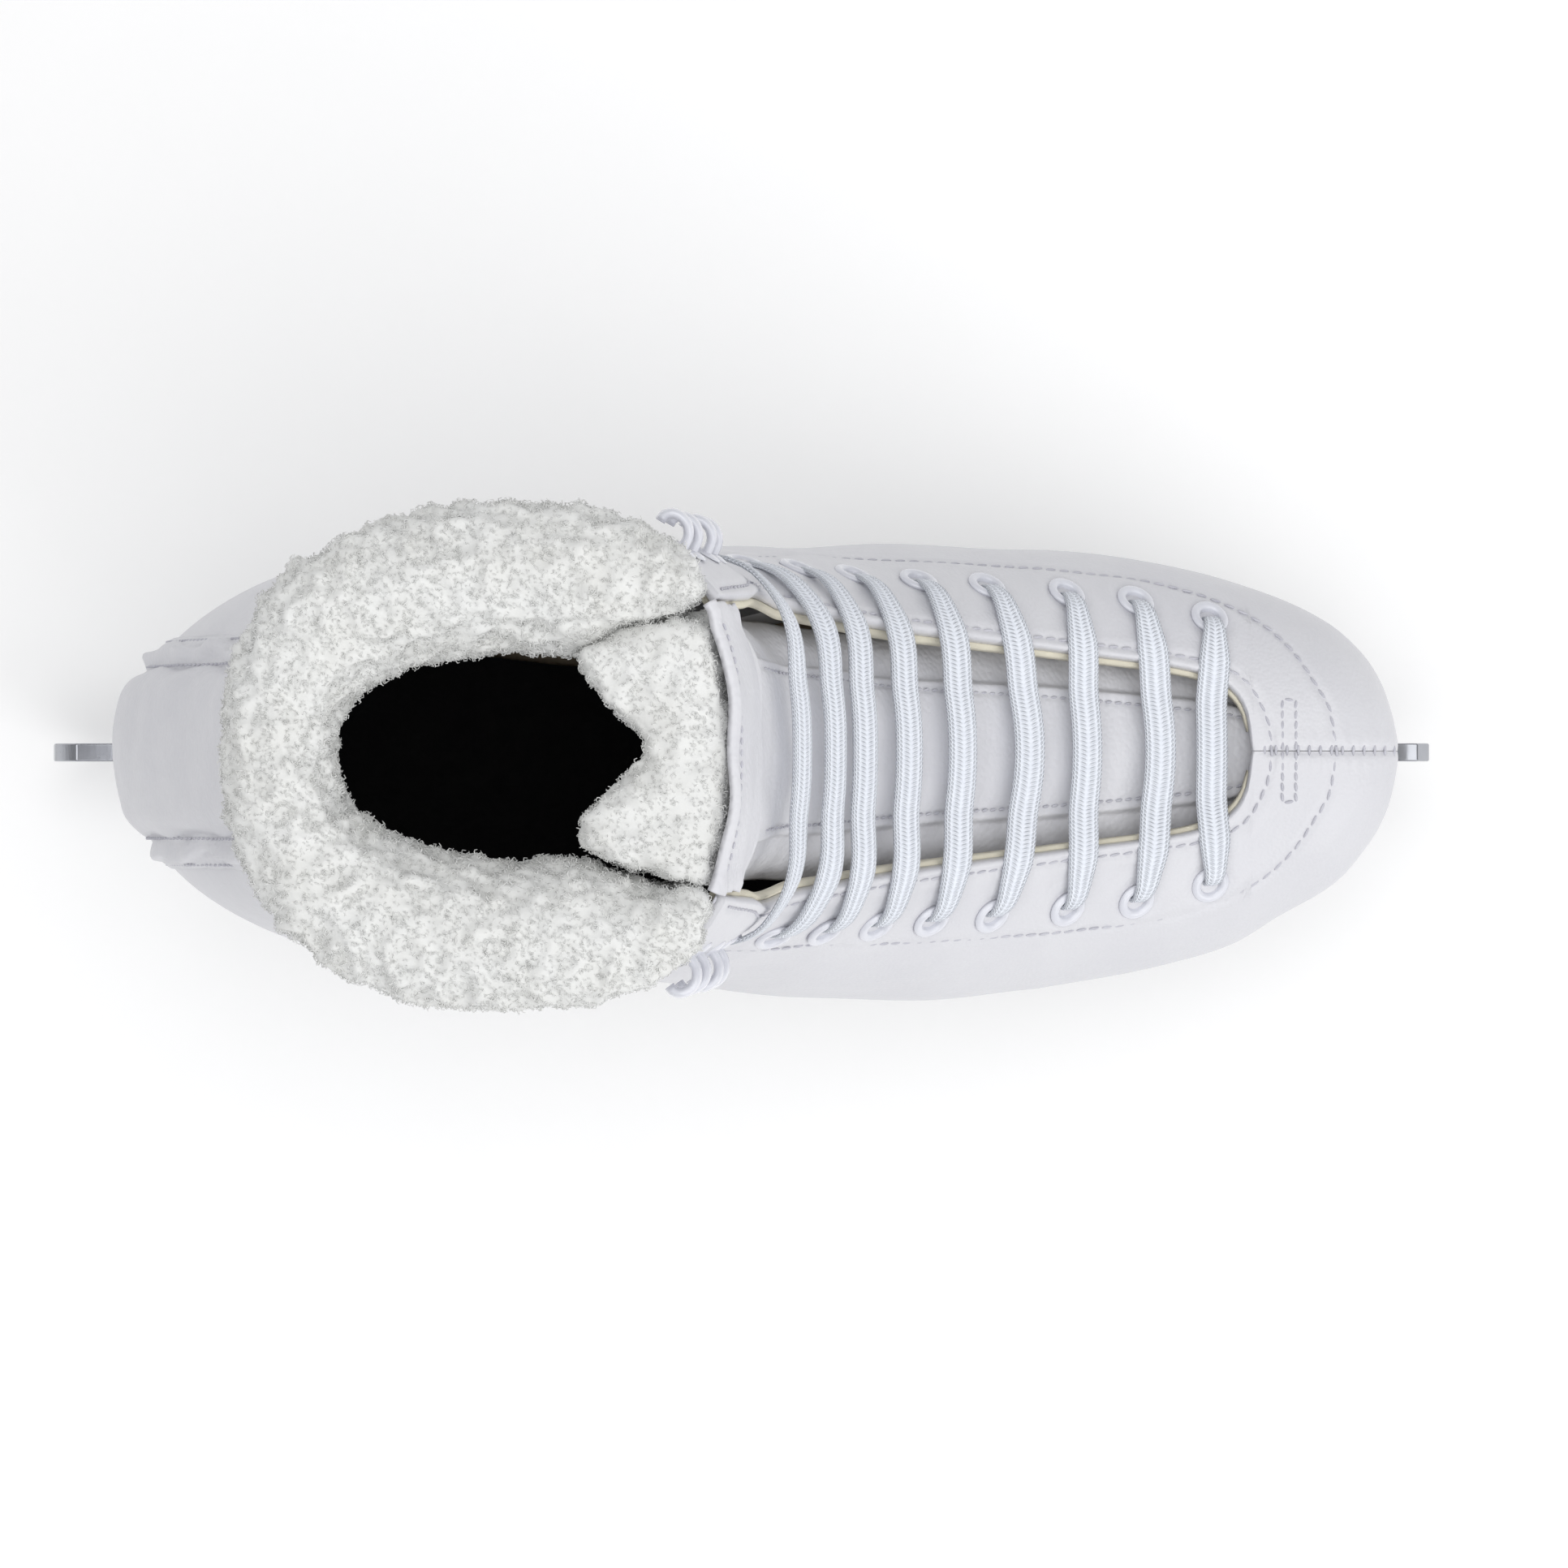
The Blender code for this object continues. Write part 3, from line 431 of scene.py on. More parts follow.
# Leather grain: small cells with sunk borders, over wider shallow creases
def makeGrain():
    tree, given, out = newGroup("leather grain", [("Place", "Vector", None), ("Cells", "Float", 1100.0),
                                                  ("Creases", "Float", 0.4)], [("Height", "Float")])
    cells = node(tree, "TexVoronoi", feature="SMOOTH_F1", Smoothness=0.4)
    wide = node(tree, "TexNoise", Scale=90.0, Detail=5.0, Distortion=1.2)
    times = node(tree, "Math", operation="MULTIPLY")
    less = node(tree, "Math", operation="SUBTRACT")
    join(tree, (given.outputs["Place"], cells.inputs["Vector"]),
        (given.outputs["Place"], wide.inputs["Vector"]),
        (given.outputs["Cells"], cells.inputs["Scale"]), (wide.outputs["Fac"], times.inputs[0]),
        (given.outputs["Creases"], times.inputs[1]), (times.outputs[0], less.inputs[0]),
        (cells.outputs["Distance"], less.inputs[1]), (less.outputs[0], out.inputs["Height"]))
    return tree


# A weave: two sets of threads crossing, from the piece's own map in millimetres
def makeWeave():
    tree, given, out = newGroup("weave", [("Place", "Vector", None), ("Threads", "Float", 0.26)],
                                [("Height", "Float")])
    waves = []
    for direction in ("X", "Y"):
        wave = node(tree, "TexWave", bands_direction=direction)
        join(tree, (given.outputs["Place"], wave.inputs["Vector"]),
            (given.outputs["Threads"], wave.inputs["Scale"]))
        waves.append(wave)
    both = node(tree, "Math", operation="MULTIPLY")
    join(tree, (waves[0].outputs["Fac"], both.inputs[0]), (waves[1].outputs["Fac"], both.inputs[1]),
        (both.outputs[0], out.inputs["Height"]))
    return tree


tones = makeTones()
reliefs = dict(grain=(makeGrain(), "Cells"), weave=(makeWeave(), "Threads"))


# A material of two soft tones, a roughness that varies a little, and one kind of relief: leather
# grain, a weave, or noise that a stretch turns into brushed lines
def newMaterial(name, light, dark, roughness, metallic=0.0, scale=40.0, relief=None, depth=0.3,
                cells=1100.0, coat=0.0, sheen=0.0, stretch=(1, 1, 1), uv=False, glow=0.0):
    look = bpy.data.materials.new(name)
    look.use_nodes = True
    tree = look.node_tree
    shader = tree.nodes["Principled BSDF"]
    shader.inputs["Roughness"].default_value = roughness
    shader.inputs["Metallic"].default_value = metallic
    shader.inputs["Coat Weight"].default_value = coat
    shader.inputs["Coat Roughness"].default_value = 0.2
    shader.inputs["Sheen Weight"].default_value = sheen
    shader.inputs["Emission Color"].default_value = (1, 1, 1, 1)
    shader.inputs["Emission Strength"].default_value = glow
    place = node(tree, "TexCoord")
    source = place.outputs["Object"]
    spread = node(tree, "Mapping")
    spread.inputs["Scale"].default_value = stretch
    tree.links.new(place.outputs["UV"] if uv else source, spread.inputs["Vector"])
    cloud = node(tree, "Group", node_tree=tones)
    cloud.inputs["Light"].default_value = (*light, 1)
    cloud.inputs["Dark"].default_value = (*dark, 1)
    cloud.inputs["Scale"].default_value = scale
    cloud.inputs["Share"].default_value = 0.6
    join(tree, (source, cloud.inputs["Place"]), (cloud.outputs["Color"], shader.inputs["Base Color"]))
    rough = node(tree, "TexNoise", Scale=260.0, Detail=3.0)
    tree.links.new(source, rough.inputs["Vector"])
    span = node(tree, "MapRange", To_Min=max(roughness - 0.09, 0.02),
                To_Max=min(roughness + 0.09, 1))
    join(tree, (rough.outputs["Fac"], span.inputs["Value"]),
        (span.outputs["Result"], shader.inputs["Roughness"]))
    if relief:
        bump = node(tree, "Bump", Strength=depth, Distance=0.0004)
        if relief in reliefs:
            group, label = reliefs[relief]
            made = node(tree, "Group", node_tree=group)
            made.inputs[label].default_value = cells
            tree.links.new(spread.outputs["Vector"], made.inputs["Place"])
            height = made.outputs["Height"]
        else:
            made = node(tree, "TexNoise", Scale=cells, Detail=6.0, Roughness=0.7)
            tree.links.new(spread.outputs["Vector"], made.inputs["Vector"])
            height = made.outputs["Fac"]
        join(tree, (height, bump.inputs["Height"]), (bump.outputs["Normal"], shader.inputs["Normal"]))
    return look


looks = dict(
    leather=newMaterial("white leather", (0.70, 0.70, 0.73), (0.65, 0.65, 0.69), 0.44, relief="grain",
                        depth=0.22, cells=1200.0, coat=0.08),
    tongueLeather=newMaterial("soft tongue leather", (0.72, 0.72, 0.75), (0.64, 0.64, 0.68), 0.46,
                              relief="grain", depth=0.4, cells=800.0),
    cream=newMaterial("cream suede", (0.80, 0.76, 0.62), (0.68, 0.63, 0.52), 0.9, relief="noise",
                      depth=0.5, cells=1800.0, scale=150.0),
    fleece=newMaterial("white fleece", (0.80, 0.805, 0.795), (0.74, 0.74, 0.715), 0.95, relief="noise",
                       depth=0.3, cells=1500.0, scale=90.0, sheen=0.25),
    lace=newMaterial("flat woven lace", (0.83, 0.865, 0.93), (0.74, 0.775, 0.85), 0.9, relief="weave",
                     depth=1.0, cells=0.36, scale=700.0, sheen=0.15, uv=True),
    # Stitch thread coloured grey, darker than the leather: painted shade of the sunk stitch holes
    shadedThread=newMaterial("white thread", (0.62, 0.62, 0.67), (0.46, 0.46, 0.52), 0.75, relief="noise",
                       depth=0.5, cells=2600.0, scale=500.0),
    enamel=newMaterial("white enamel", (0.72, 0.73, 0.785), (0.67, 0.68, 0.74), 0.22, scale=180.0,
                       relief="noise", depth=0.06, cells=500.0, coat=0.5),
    steel=newMaterial("plated blade steel", (0.42, 0.43, 0.46), (0.33, 0.34, 0.37), 0.24, 1.0,
                      relief="noise", depth=0.12, cells=160.0, stretch=(1, 1, 22), scale=60.0),
    plate=newMaterial("plated plate steel", (0.5, 0.51, 0.54), (0.42, 0.43, 0.46), 0.3, 1.0,
                      relief="noise", depth=0.1, cells=900.0),
    screw=newMaterial("zinc screw", (0.56, 0.57, 0.6), (0.45, 0.46, 0.5), 0.35, 1.0, relief="noise",
                      depth=0.2, cells=1500.0),
    sole=newMaterial("lacquered sole leather", (0.66, 0.655, 0.65), (0.57, 0.565, 0.56), 0.4,
                     relief="noise", depth=0.2, cells=300.0, stretch=(1, 1, 8), coat=0.15),
    lift=newMaterial("heel rubber", (0.66, 0.66, 0.66), (0.58, 0.58, 0.58), 0.75, relief="noise",
                     depth=0.4, cells=1400.0),
    # Near-black cloth for the lining and the footbed: painted shade of the boot's deep interior
    paintedShadeCloth=newMaterial("lining cloth painted black as shade", (0.022, 0.022, 0.024), (0.012, 0.012, 0.013), 0.95,
                          relief="noise", depth=0.6, cells=1600.0, scale=200.0),
    board=newMaterial("pressed fibreboard", (0.55, 0.45, 0.33), (0.44, 0.35, 0.25), 0.85,
                      relief="noise", depth=0.4, cells=700.0))
print("materials made")


# Gives a piece its material and slot, says which nodes it stands for and what it rides on
def finishPiece(piece, look, nodes=(), body=boot, ride=True):
    piece.data.materials.clear()
    piece.data.materials.append(looks[look])
    if nodes:
        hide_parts(*nodes)
    if ride:
        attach(piece, body)
    return piece


# Leather halves
upperShape = dict(edgeRoll=0.9, seamFrom=101.0, seamDepth=0.55, pucker=2.4, puckerHeight=0.3,
                  wave=0.28, pitch=3.2, stitch=2.4)
eyelets = dict(gauge=(-36, -20, -5, 7.4, 17.4, 28, 39.4, 51.6, 73),
               y=(28.5, 32, 33.5, 34.8, 35.7, 36.6, 37.6, 38.4, 39.3),
               bow=(1, 6, 5.4, 6, 4.4, 2.7, 0.5, 0.5, 1), out=4.2, hole=2.1)
eyeletY = curveThrough(list(zip(eyelets["gauge"], eyelets["y"])))
throatLine = dict(
    near=[(-49, 0), (-48.5, 5), (-46.5, 10.5), (-43.5, 15), (-38, 18.3), (-30, 20.2), (0, 23.9),
          (12, 25.9), (30, 28.3), (50, 30.8), (73, 33.8), (90, 32.8), (128, 30.9)],
    far=[(-63, 0), (-61.5, 9), (-58.5, 14.5), (-54, 21.3), (-47.5, 27.4), (-41, 31), (-33, 34),
         (-22, 36.6), (-8, 38.2), (5, 39.4), (20, 40.4), (32, 40.8)])


# A line over the skin through (gauge, y) pairs, as (gauge, v) at even steps of its own length
def lineOnSkin(pairs, side, count=240):
    pairs = np.array(pairs, float)
    length = np.concatenate([[0], np.cumsum(np.hypot(*np.diff(pairs, axis=0).T))])
    at = np.linspace(0, length[-1], count)
    gauge = curveThrough(list(zip(length, pairs[:, 0])))(at)
    y = curveThrough(list(zip(length, pairs[:, 1])))(at)
    return gauge, vAt(gauge, side * np.maximum(y, 0.01))


# Distance from each grid point to a polyline, taken to its nearest sample
def distanceTo(points, line):
    flat = points.reshape(-1, 3)
    best = np.full(len(flat), 1e9)
    for start in range(0, len(line), 40):
        part = line[start:start + 40]
        gap = ((flat[:, None, :] - part[None]) ** 2).sum(-1).min(1)
        best = np.minimum(best, gap)
    return np.sqrt(best).reshape(points.shape[:-1])


# The outer stitch line: drawn round the throat's end, then a fixed way outside the eyelets,
# with a gradual change between the two
def farLine(side):
    gauge, v = lineOnSkin(throatLine["far"], side, 200)
    above = np.linspace(33, 128, 180)
    upV = np.abs(vAt(above, side * eyeletY(np.clip(above, 0, 73)))) + 0.085
    blend = fade(above, 33, 12)
    upV = np.abs(v[-1]) * (1 - blend) + upV * blend
    return np.concatenate([gauge, above]), np.concatenate([v, side * upV])


# One leather half: the skin from the throat or the toe seam to the sole edge or the back, with
# its edge rolled in, the seam sunk and puckered, both stitch lines sunk, and the eyelets dimpled
def makeUpper(side, word):
    gauge = np.concatenate([np.linspace(-78, -74, 8, endpoint=False),
                            np.linspace(-74, -44, 56, endpoint=False),
                            np.linspace(-44, bootShape["cuff"], 190)])[:, None]
    start = np.abs(vAt(gauge, side * throat(gauge) * (gauge > -45)))
    fine = np.linspace(0, 1, 120) ** 1.35
    share = np.concatenate([[0, 0.0008, 0.002, 0.0035], 0.005 + 0.995 * fine])[None, :]
    v = start + (2 - start) * share
    v = v if side > 0 else np.maximum(4 - v, 2.0001)
    base = skin(gauge, v)
    normal = outward(gauge, v)
    fromEdge = np.concatenate([np.zeros((len(gauge), 1)),
                               np.cumsum(np.linalg.norm(np.diff(base, axis=1), axis=-1), 1)], 1)
    roll = upperShape["edgeRoll"]
    edge = np.where(gauge > -45, roll * (1 - np.sqrt(1 - np.clip(1 - fromEdge / roll, 0, 1) ** 2)), 0)
    x, y = base[..., 0], np.abs(base[..., 1])
    onToe = fade(x, upperShape["seamFrom"], 3) * np.clip((133.5 - x) / 4, 0, 1)
    groove = upperShape["seamDepth"] * hump(y, 0, 0.9)
    swell = upperShape["puckerHeight"] * hump(y, 2.4, 1.7)
    swell = swell * (0.55 + 0.45 * np.cos(2 * pi * x / upperShape["pucker"]))
    lift = onToe * (swell - groove)
    for line in (lineOnSkin(throatLine["near"], side), farLine(side)):
        away = distanceTo(base, skin(*line))
        lift = lift - 0.3 * hump(away, 0, 0.75)
        lift = lift + 0.12 * hump(away, 1.8, 1.1)
    for at, out in zip(eyelets["gauge"], eyelets["y"]):
        away = np.linalg.norm(base - skin(at, vAt(at, side * out)), axis=-1)
        lift = lift - 0.35 * np.exp(-(away / 4.6) ** 4) + 0.22 * hump(away, 6.2, 1.6)
    lift = lift + upperShape["wave"] * ripple(base, 46, 3) * fade(fromEdge, 0, 6)
    fromFront = v if side > 0 else 4 - v
    bend = hump(gauge, 42, 20) * hump(fromFront, 0.9, 0.5)
    lift = lift + 0.5 * bend * np.sin(gauge / 3.6 + 1.3 * np.sin(v * 5)) * fade(fromEdge, 0, 8)
    outer = base + normal * (lift - edge)[..., None]
    inner = base - normal * bootShape["leather"]
    for points in (outer, inner):
        points[0, :, 1] = 0
        points[..., 1] = side * np.maximum(side * points[..., 1], 0.06)
    piece = sheetPiece(word + "_leather_half", outer, inner)
    return finishPiece(piece, "leather", [word + "_upper"])


for side, word in halves:
    makeUpper(side, word)
    for label, line in (("throat", lineOnSkin(throatLine["near"], side)), ("eyestay", farLine(side))):
        stitches = stitchRow(f"{word}_{label}_stitches", skin(*line) - outward(*line) * 0.22,
                             outward(*line), upperShape["pitch"], upperShape["stitch"])
        finishPiece(stitches, "shadedThread")

# Cross stitches over the toe seam, and a long box of stitches across its upper end
x = np.arange(102.5, 131.5, upperShape["pucker"])
v = np.full(len(x), 0.003)
places, up = skin(pivotX - x, v), outward(pivotX - x, v)
along = unit(np.gradient(places, axis=0))
across = np.cross(up, along)
shape, faces = bead()
finishPiece(repeated("toe_seam_stitches", shape * [0.3, 1.3, 0.32], faces, places - up * 0.12,
                     np.stack([along, across, up], -1)), "shadedThread")
box = dict(near=-51.3, far=-54.2, half=9.9, ends=10.9, pitch=2.2)
row = np.arange(-box["half"], box["half"] + 0.1, box["pitch"])
y = np.concatenate([row, row, [-box["ends"], box["ends"]]])
gaugeRow = np.repeat([box["near"], box["far"], (box["near"] + box["far"]) / 2], [len(row), len(row), 2])
vRow = vAt(gaugeRow, y + 0.01)
places, up = skin(gaugeRow, vRow), outward(gaugeRow, vRow)
along = unit(skin(gaugeRow - 0.4, vRow) - skin(gaugeRow + 0.4, vRow))
across = np.cross(up, along)
along[:-2], across[:-2] = across[:-2], -along[:-2]
finishPiece(repeated("throat_end_stitches", shape * [0.95, 0.36, 0.36], faces, places,
                     np.stack([along, across, up], -1)), "shadedThread")
print("leather halves sewn")

# The cream lining of each facing: a thin sheet under the leather that shows past its edge
facingShape = dict(depth=(2.3, 3.9), beyond=0.75, wide=18.5)
for side, word in halves:
    gauge = np.linspace(-44.5, 131, 190)[:, None]
    share = np.linspace(0, 1, 22)[None, :]
    width = np.maximum(throat(gauge) - facingShape["beyond"], 0.2)
    first = np.abs(vAt(gauge, side * width))
    last = np.abs(vAt(gauge, side * np.minimum(width + facingShape["wide"], 41)))
    v = side * (first + (last - first) * share)
    ragged = 0.1 * ripple(skin(gauge, v), 2.2, 5) * (share < 0.03)
    top = layer(gauge, v, facingShape["depth"][0] + 0 * v + ragged)
    low = layer(gauge, v, facingShape["depth"][1] + 0 * v)
    finishPiece(sheetPiece(word + "_facing_edge", top, low), "cream", [word + "_facing_lining"])
print("facings made")

# The lining of each half, softly uneven, from the foot up to the collar, coloured near black as painted
# shade of the boot's deep interior
liningShape = dict(depth=(4.4, 8.6), first=-66.0, last=111.0, open=[(-66, 0.2), (-57, 16), (-45, 26),
                   (-36, 33), (-20, 37.5), (0, 39.5), (30, 40), (60, 40), (111, 40)])
opening = curveThrough(liningShape["open"])
for side, word in halves:
    gauge = np.linspace(liningShape["first"], liningShape["last"], 120)[:, None]
    share = np.linspace(0, 1, 40)[None, :]
    wide = wideInner(gauge) if side > 0 else wideOuter(gauge)
    first = np.abs(vAt(gauge, side * np.minimum(opening(gauge), 0.95 * wide)))
    last = np.interp(gauge, [-63, 40, 50, 57.4, 59, 62], [1.25, 1.35, 1.38, 1.45, 1.6, 1.999])
    v = first + (last - first) * share
    v = v if side > 0 else 4 - v
    soft = 0.35 * ripple(skin(gauge, v), 21, 12)
    near, far = (layer(gauge, v, depth) for depth in (liningShape["depth"][0] + 0 * v,
                                                      liningShape["depth"][1] + soft))
    finishPiece(sheetPiece(word + "_painted_shade_lining", near, far), "paintedShadeCloth", [word + "_lining"])
print("lining made")

# The tongue: one sheet under the throat. Its sides drop beside the stitched panel, its top rises
# clear of the boot with hemmed sides, and it creases where it bends
tongueShape = dict(
    half=[(-51, 16.5), (-40, 21), (-20, 25), (20, 29.5), (60, 33), (80, 33.5), (92, 32), (105, 30.5),
          (120, 28.5), (143, 28.5)],
    panel=[(-51, 8), (-40, 11), (-32, 12), (0, 15), (50, 19), (80, 20), (143, 40)],
    depth=[(-51, 7.0), (60, 6.6), (84, 6.8), (92, 7.0), (100, 5.4), (115, 2.2), (143, 0.7)],
    drop=1.7, thick=1.4, seam=1.9, rise=84, crease=97, binding=140.3)
halfWide, panelHalf, tongueDepth = (curveThrough(tongueShape[key]) for key in ("half", "panel", "depth"))
rise, seam = tongueShape["rise"], tongueShape["seam"]
gauge = np.concatenate([np.linspace(-51, rise, 170, endpoint=False), np.linspace(rise, 143, 110)])[:, None]
share = np.linspace(-1, 1, 121)[None, :]
y = share * halfWide(gauge)
v = vAt(gauge, np.where(np.abs(y) < 1e-6, 1e-6, y))
base = skin(gauge, v)
beyond = fade(np.abs(y), panelHalf(gauge), 1.8)
onTop = fade(gauge, rise, 14)
depth = tongueDepth(gauge) + tongueShape["drop"] * beyond ** 2 * (3 - 2 * beyond) * (1 - onTop)
hem = fade(np.abs(share), 0.84, 0.1) * onTop
wave = np.sin(gauge * 0.62 + np.sign(share) * 2) * (0.6 + 0.4 * np.sin(gauge * 0.23))
depth = depth - hem * (0.6 + 0.55 * wave)
crease = hump(gauge, tongueShape["crease"], 7)
depth = depth + crease * (0.7 * np.sin(gauge * 0.62 + y * 0.07) + 0.5 * np.sin(gauge * 0.4 - y * 0.16))
depth = depth + 0.25 * ripple(base, 17, 9)
depth = depth + 0.35 * hump(np.abs(y), panelHalf(gauge) - seam, 0.7) * (1 - onTop)
depth = depth + 0.9 * fade(gauge, 141.6, 1.4) ** 2
top = layer(gauge, v, depth)
low = layer(gauge, v, depth + tongueShape["thick"])
tongue = sheetPiece("tongue_leather", top, low)
finishPiece(tongue, "tongueLeather", ["tongue_lace_panel", "tongue_top_panel"], ride=False)
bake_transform(tongue)
for side, word in halves:
    g = np.linspace(-46, 80, 200)
    line = vAt(g, side * (panelHalf(g) - seam))
    spot = layer(g, line, tongueDepth(g) + 0.15)
    finishPiece(stitchRow(f"tongue_{word}_stitches", spot, outward(g, line), 2.4, 1.7, 0.6), "shadedThread")
g = np.full(90, tongueShape["binding"])
v = np.linspace(-0.98, 0.98, 90) * vAt(tongueShape["binding"], 28)
piece = stitchRow("tongue_binding_stitches", layer(g, v, tongueDepth(g) - 0.1), outward(g, v),
                  2.2, 1.5, 0.6)
finishPiece(piece, "shadedThread", body=tongueBody)
print("tongue made")

# The lace: a bar over the throat for each pair of eyelets, narrowed where it dives into them,
# and short runs beneath from one pair to the next
laceShape = dict(width=7.0, thick=1.1, pinch=3.2, inside=6.3, tilt=0.62)


# A flat run of lace along a path
def laceRun(points, sides, width):
    return strapPoints(points, sides, width, laceShape["thick"], 16, 0.5)


runs = []
for at, out, bow in zip(eyelets["gauge"], eyelets["y"], eyelets["bow"]):
    share = np.linspace(0, 1, 60)
    across = out * (1 - 2 * share)
    reach = np.minimum(share, 1 - share)
    along = at - bow * np.sin(pi * share)
    dip = fade(reach, 0.12, 0.22)
    depth = -1.3 - 0.9 * hump(reach, 0.05, 0.05) + 3.6 * dip * dip * (3 - 2 * dip)
    bar = layer(along, vAt(along, across), depth)
    ahead, behind = (skin(along + step, vAt(along + step, across)) for step in (1.5, -1.5))
    sides = unit(unit(ahead - behind) * [1, 1, laceShape["tilt"]])
    down = np.linspace(laceShape["inside"], -0.6, 9)
    legs = [layer(np.full(9, at), np.full(9, float(vAt(at, s * out))), down) for s in (1, -1)]
    path = np.concatenate([legs[0], bar[2:-2], legs[1][::-1]])
    sides = np.concatenate([np.repeat(sides[:1], 9, 0), sides[2:-2], np.repeat(sides[-1:], 9, 0)])
    for _ in range(2):
        path[1:-1] = (path[:-2] + 2 * path[1:-1] + path[2:]) / 4
    step = np.arange(len(path))
    spread = fade(step, 8, 9) * np.clip((len(path) - 9 - step) / 9, 0, 1)
    width = laceShape["pinch"] + (laceShape["width"] - laceShape["pinch"]) * spread ** 0.7
    runs.append(laceRun(path, sides, width))
for number in range(len(eyelets["gauge"]) - 1):
    side = 1 if number % 2 else -1
    a, b = eyelets["gauge"][number], eyelets["gauge"][number + 1]
    g = np.linspace(a, b, 20)
    y = side * np.linspace(eyelets["y"][number], eyelets["y"][number + 1], 20)
    path = layer(g, vAt(g, y), laceShape["inside"] + 0 * g)
    sides = unit(skin(g, vAt(g, y + 1)) - skin(g, vAt(g, y - 1)))
    runs.append(laceRun(path, sides, 4.0))
points, faces, uv, first = [], [], [], 0
for run in runs:
    rows, columns = run.shape[:2]
    length = np.concatenate([[0], np.cumsum(np.linalg.norm(np.diff(run[:, 0], axis=0), axis=1))])
    across = np.abs(np.linspace(-1, 1, columns, endpoint=False)) * laceShape["width"]
    slant = length[:, None] + 0.8 * np.abs(across - laceShape["width"] / 2)[None]
    uv.append(np.stack(np.broadcast_arrays(slant, across[None]), -1))
    faces.append(gridFaces(rows, columns, closedColumns=True, first=first))
    points.append(run.reshape(-1, 3))
    first += rows * columns
lace = newPiece("flat_lace", np.concatenate(points), np.concatenate(faces),
                uv=np.concatenate([part.reshape(-1, 2) for part in uv]))
edited(lace.data, lambda work: bmesh.ops.holes_fill(work, edges=work.edges, sides=0))
finishPiece(lace, "lace", ["lace"])
print("lace threaded")

# Eyelets turned round the skin's outward direction, and hooks that curl back from their rivets
turn = np.linspace(0, pi, 12)
flange = [(eyelets["hole"] + 1.15 - cos(t), 0.15 + 0.75 * sin(t)) for t in turn]
flange = [(eyelets["hole"], -4.2), (eyelets["hole"], -0.3)] + flange + [
    (eyelets["out"], 0.1), (eyelets["out"] - 0.05, -0.35), (2.75, -0.4), (2.75, -4.2)]
for side, word in halves:
    for number, (at, out) in enumerate(zip(eyelets["gauge"], eyelets["y"]), 1):
        v = float(vAt(at, side * out))
        piece = turnedPiece(f"{word}_enamel_eyelet_{number}", flange, skin(at, v), outward(at, v), 36)
        finishPiece(piece, "enamel", [f"{word}_eyelet_{number}"])

hookShape = dict(heights=(214, 226, 238, 250), setback=9.0)
hookPath = np.array([(0, 0.3), (0, 1.8), (0.3, 3.4), (1.6, 5.0), (3.6, 5.6), (5.4, 5.2), (6.5, 4.0),
                     (6.5, 2.6)])
for side, word in halves:
    for number, height in enumerate(hookShape["heights"], 1):
        at = 90 + height - pivotZ
        throatV = float(vAt(at, side * throat(at)))
        v = np.linspace(0.3, 1.2, 200) * side
        spots = skin(np.full(200, at), v)
        edgeX = skin(at, throatV)[0]
        nearest = int(np.abs(spots[:, 0] - (edgeX - hookShape["setback"])).argmin())
        foot, up = spots[nearest], outward(at, v[nearest])
        run = unit(np.array([-up[1] * side, up[0] * side, 0]))
        run = run if run[0] < 0 else -run
        t = np.linspace(0, 7, 36)
        along = np.stack([np.interp(t, np.arange(8), hookPath[:, k]) for k in range(2)], -1)
        for _ in range(6):
            along[1:-1] = (along[:-2] + 2 * along[1:-1] + along[2:]) / 4
        path = foot + along[:, :1] * run + along[:, 1:] * up
        width = np.interp(t, [0, 1.5, 3, 5, 6.4, 7], [4.0, 4.2, 6.2, 7.4, 6.4, 3.4])
        arm = strapPoints(path, np.repeat([[0.0, 0.0, 1.0]], 36, 0), width, 2.1, 18, 0.8)
        rows, columns = arm.shape[:2]
        faces = gridFaces(rows, columns, closedColumns=True).tolist()
        faces += [list(range(columns)), list(range((rows - 1) * columns, rows * columns))]
        disc = [(0.01, 0.8), (1.6, 0.75), (3.0, 0.45), (3.4, 0.1), (3.4, 0.0), (0.01, 0.0)]
        piece = newPiece(f"{word}_enamel_hook_{number}", arm, faces)
        outwardFaces(piece)
        finishPiece(piece, "enamel", [f"{word}_hook_{number}"])
        base = turnedPiece(f"{word}_hook_base_{number}", disc, foot, up, 28)
        finishPiece(base, "enamel")
print("eyelets and hooks set")

# The back panel: a pad that domes between two ruffled, stitched borders
backShape = dict(half=23.0, padHalf=16.5, first=60.0, last=119.0, ruffle=0.5)
gauge = np.linspace(backShape["first"], backShape["last"], 120)[:, None]
share = np.linspace(-1, 1, 91)[None, :]
ends = np.minimum(1, np.minimum(gauge - backShape["first"], backShape["last"] - gauge) / 7) ** 0.5
y = share * backShape["half"] * ends.clip(0.02)
v = np.where(y >= 0, backVAt(gauge, np.abs(y)), 4 - backVAt(gauge, np.abs(y)))
v = np.where((y < 0) & (v <= 2), 2.0001, v)
weaving = 0.9 * np.sin(gauge * 0.85 + np.sign(y)) + 0.5 * np.sin(gauge * 0.37 + 2 * np.sign(y))
size = np.abs(y) + weaving * fade(np.abs(y), 14, 4) * (np.abs(share) < 0.999)
pad = np.clip((backShape["padHalf"] - size) / 6, 0, 1)
height = 0.5 + 3.2 * np.sin(pad * pi / 2) ** 0.8 * ends
borders = hump(size, 19.8, 1.7)
wavy = 1 + backShape["ruffle"] * np.sin(gauge * 1.5 + np.sign(y)) * np.sin(gauge * 0.31)
height = height + ends * borders * 1.9 * wavy + 0.25 * ripple(skin(gauge, v), 14, 4) * ends
